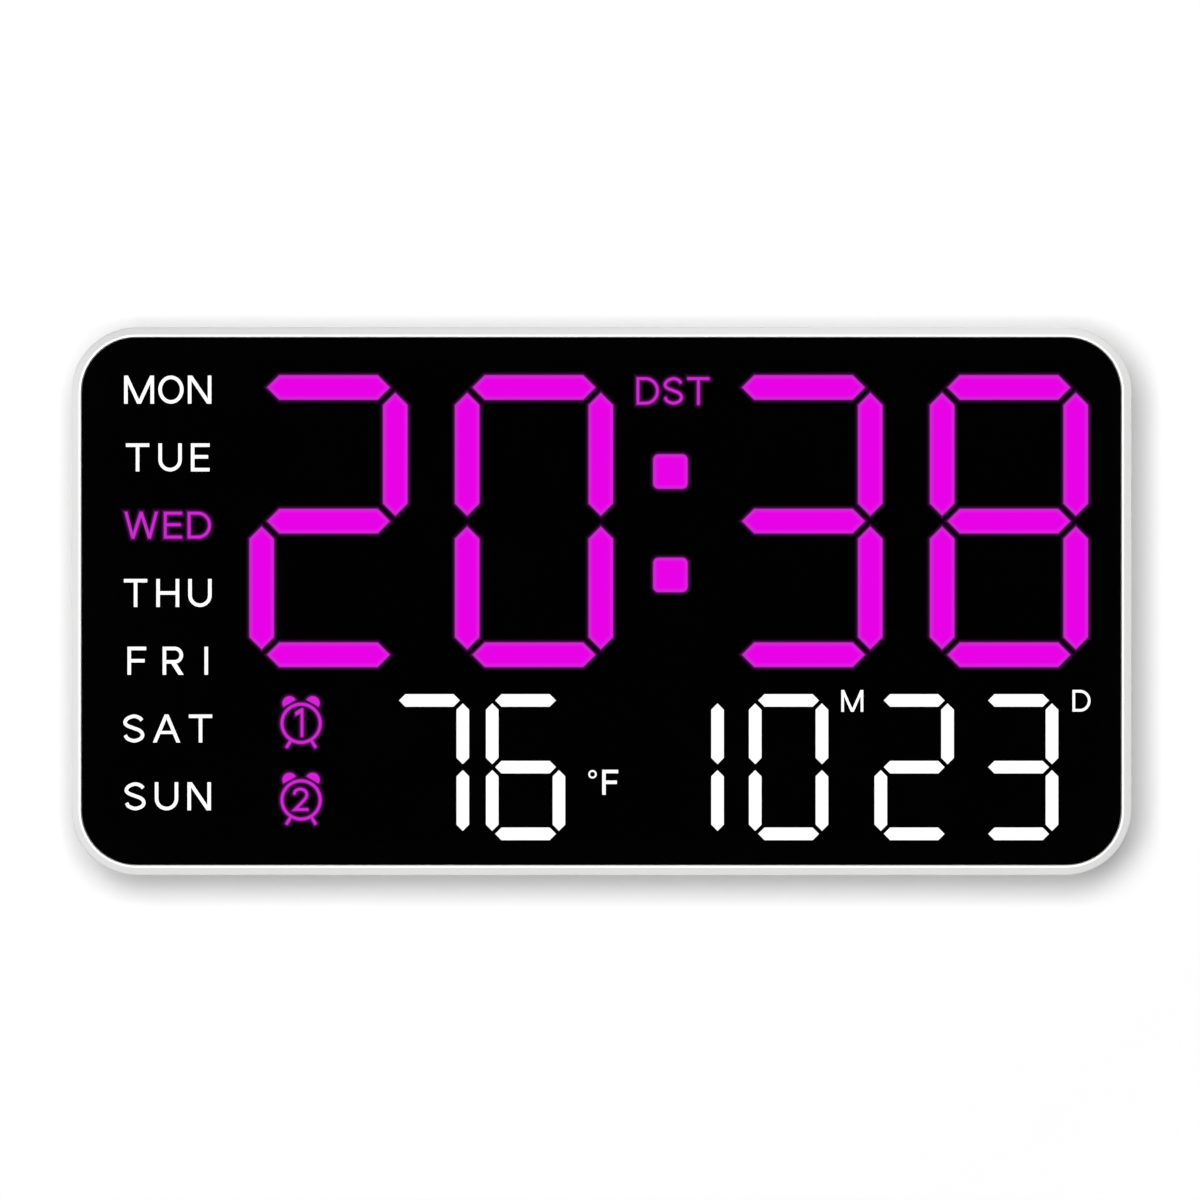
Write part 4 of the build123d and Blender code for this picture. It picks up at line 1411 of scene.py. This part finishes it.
@dataclass
class Studio:
    """Pale wall and floor, soft lamps, two dark sheets for the reflections, and the camera."""

    photo: Photo
    wall_gap: float = 0.3e-3
    reach: float = 4.0
    floor_drop: float = 0.9
    paint: float = 0.95
    glow: float = 0.05
    floor_glow: float = 0.62
    wall_fade: Pair = (0.165, 0.23)
    floor_fade: Pair = (0.95, 1.6)
    card_place: float = -3.4
    card_reach: Pair = (0.62, 0.5)
    flag_place: Place = (-0.22, -0.115, 0.18)
    flag_tilt: float = 60.0
    flag_fade: Pair = (0.14, 0.27)
    fill: float = 0.12
    distance: float = 3.0
    sensor: float = 36.0
    mirrored_only: ClassVar[tuple[Ray, ...]] = (Ray.CAMERA, Ray.DIFFUSE, Ray.SHADOW, Ray.CLEAR)
    lamps: tuple[Lamp, ...] = (
        Lamp("left_lamp", (-0.53, -2.5, 0.21), (0.5, 1.26), 47.0),
        Lamp("right_lamp", (0.34, -2.5, 0.21), (0.12, 1.26), 47.0),
        Lamp("upper_lamp", (0.0, -2.5, 0.505), (0.56, 0.67), 47.0),
        Lamp("lower_lamp", (0.0, -2.5, -0.295), (0.56, 0.25), 47.0),
        Lamp("rear_left_lamp", (-1.72, 1.2, 0.1), (0.6, 0.6), 26.0, 0),
        Lamp("rear_right_lamp", (1.72, 1.2, 0.3), (0.6, 0.6), 48.0, 0),
        Lamp("rear_upper_lamp", (0.4, 1.8, 1.0), (0.6, 0.6), 36.0, 0),
        Lamp("rear_lower_lamp", (0.0, 0.54, -0.78), (0.3, 0.3), 26.0, 0),
    )

    def build(self) -> None:
        """Set up everything that isn't part of the clock."""
        middle = (CAD_BOX[0] + CAD_BOX[1]) / 2
        self.place_sheets(middle)
        self.light_world()
        for lamp in self.lamps:
            lamp.build(middle)
        self.place_camera()
        bpy.context.scene.view_settings.view_transform = "Standard"

    def place_sheets(self, middle: Vector) -> None:
        """Wall behind the clock, floor below it, dark card behind the camera, soft flag above the rim.

        Args:
            middle: middle of the clock.
        """
        across, deep, up = Vector((1, 0, 0)), Vector((0, 1, 0)), Vector((0, 0, 1))
        paint = self.paint_material("wall_paint", self.glow, self.wall_fade)
        wall = oblong(self.wall_gap * deep, self.reach * across, self.reach * up)
        self.sheet("wall", wall, paint, (Ray.DIFFUSE, Ray.GLOSSY, Ray.SHADOW))
        paint = self.paint_material("floor_paint", self.floor_glow, self.floor_fade)
        floor = oblong((middle.z - self.floor_drop) * up, self.reach * across, self.reach * deep)
        self.sheet("floor", floor, paint, (Ray.DIFFUSE,))
        wide, tall = self.card_reach
        card = oblong(self.card_place * deep + middle.z * up, tall * up, wide * across)
        self.sheet("dark_card", card, self.dark_material(), self.mirrored_only)
        lean, size = float(np.radians(self.flag_tilt)), self.flag_fade[1]
        rise = Vector((0, np.sin(lean), np.cos(lean)))
        flag = oblong(Vector(self.flag_place), size * rise, size * across)
        self.sheet("soft_flag", flag, self.flag_material(), self.mirrored_only)

    def sheet(self, name: str, corners: Sequence[Vector], material: bpy.types.Material,
              hidden: Sequence[Ray]) -> None:
        """Flat sheet of the stage.

        Args:
            name: its name.
            corners: its four corners in order.
            material: its material.
            hidden: kinds of rays that don't meet it.
        """
        mesh = bpy.data.meshes.new(name)
        mesh.from_pydata(list(corners), [], [(0, 1, 2, 3)])
        mesh.materials.append(material)
        sheet = placed(name, mesh)
        for kind in hidden:
            setattr(sheet, kind.value, False)

    def paint_material(self, name: str, strength: float, fade: Pair) -> bpy.types.Material:
        """White paint that keeps shadows, brightened where it is seen, and clear from its back.

        Args:
            name: name of the material.
            strength: how much it is brightened near the clock.
            fade: distances from the clock between which it goes over to plain white.

        Returns:
            The material.
        """
        material = bpy.data.materials.new(name)
        tree = Tree(material)
        tint = (self.paint, self.paint, self.paint, 1.0)
        matt = tree.node("ShaderNodeBsdfDiffuse", {}, {"Color": tint})
        glow = tree.node("ShaderNodeEmission", {}, {"Strength": strength})
        near = tree.node("ShaderNodeAddShader", {}, {0: matt, 1: glow})
        white = tree.node("ShaderNodeEmission", {}, {"Strength": 1.0})
        bright = tree.mix(tree.away((0.0, 0.0, 0.0), fade), near, white)
        behind = tree.node("ShaderNodeNewGeometry", {}, {}, "Backfacing")
        clear = tree.node("ShaderNodeBsdfTransparent", {}, {})
        tree.surface(tree.mix(behind, tree.mix(tree.seen(), matt, bright), clear))
        return material

    def dark_material(self) -> bpy.types.Material:
        """Black cloth.

        Returns:
            The material.
        """
        material = bpy.data.materials.new("stage_dark")
        tree = Tree(material)
        tree.surface(tree.node("ShaderNodeBsdfDiffuse", {}, {"Color": BLACK}))
        return material

    def flag_material(self) -> bpy.types.Material:
        """Black cloth that thins out to nothing away from its centre.

        Returns:
            The material.
        """
        material = bpy.data.materials.new("stage_flag")
        tree = Tree(material)
        cloth = tree.node("ShaderNodeBsdfDiffuse", {}, {"Color": BLACK})
        clear = tree.node("ShaderNodeBsdfTransparent", {}, {})
        tree.surface(tree.mix(tree.away(self.flag_place, self.flag_fade), cloth, clear))
        return material

    def light_world(self) -> None:
        """White where it is seen or mirrored, and a plain fill light elsewhere."""
        world = bpy.data.worlds.new("studio")
        bpy.context.scene.world = world
        tree = Tree(world)
        fill, shown = (tree.node("ShaderNodeBackground", {}, {"Color": WHITE, "Strength": strength})
                       for strength in (self.fill, 1.0))
        tree.node("ShaderNodeOutputWorld", {}, {"Surface": tree.mix(tree.seen(), fill, shown)})

    def place_camera(self) -> None:
        """Look straight at the face through a long lens, with the photograph's frame round the rim."""
        data = bpy.data.cameras.new("camera")
        data.sensor_width = self.sensor
        data.lens = self.sensor * self.distance / (self.photo.side * self.photo.pixel)
        camera = placed("camera", data)
        across, up = self.photo.point(self.photo.side / 2, self.photo.side / 2)
        camera.location = (across, CAD_BOX[0].y - self.distance, up)
        camera.rotation_euler = (np.pi / 2, 0, 0)
        bpy.context.scene.camera = camera


def main() -> None:
    """Dress the solids, add the marks and set up the studio."""
    logging.basicConfig(level=logging.INFO)
    photo, wardrobe = Photo(), Wardrobe()
    wardrobe.dress_solids()
    Display(photo, wardrobe).build()
    BackLegends(wardrobe).build()
    Studio(photo).build()


if __name__ == "__main__":
    main()
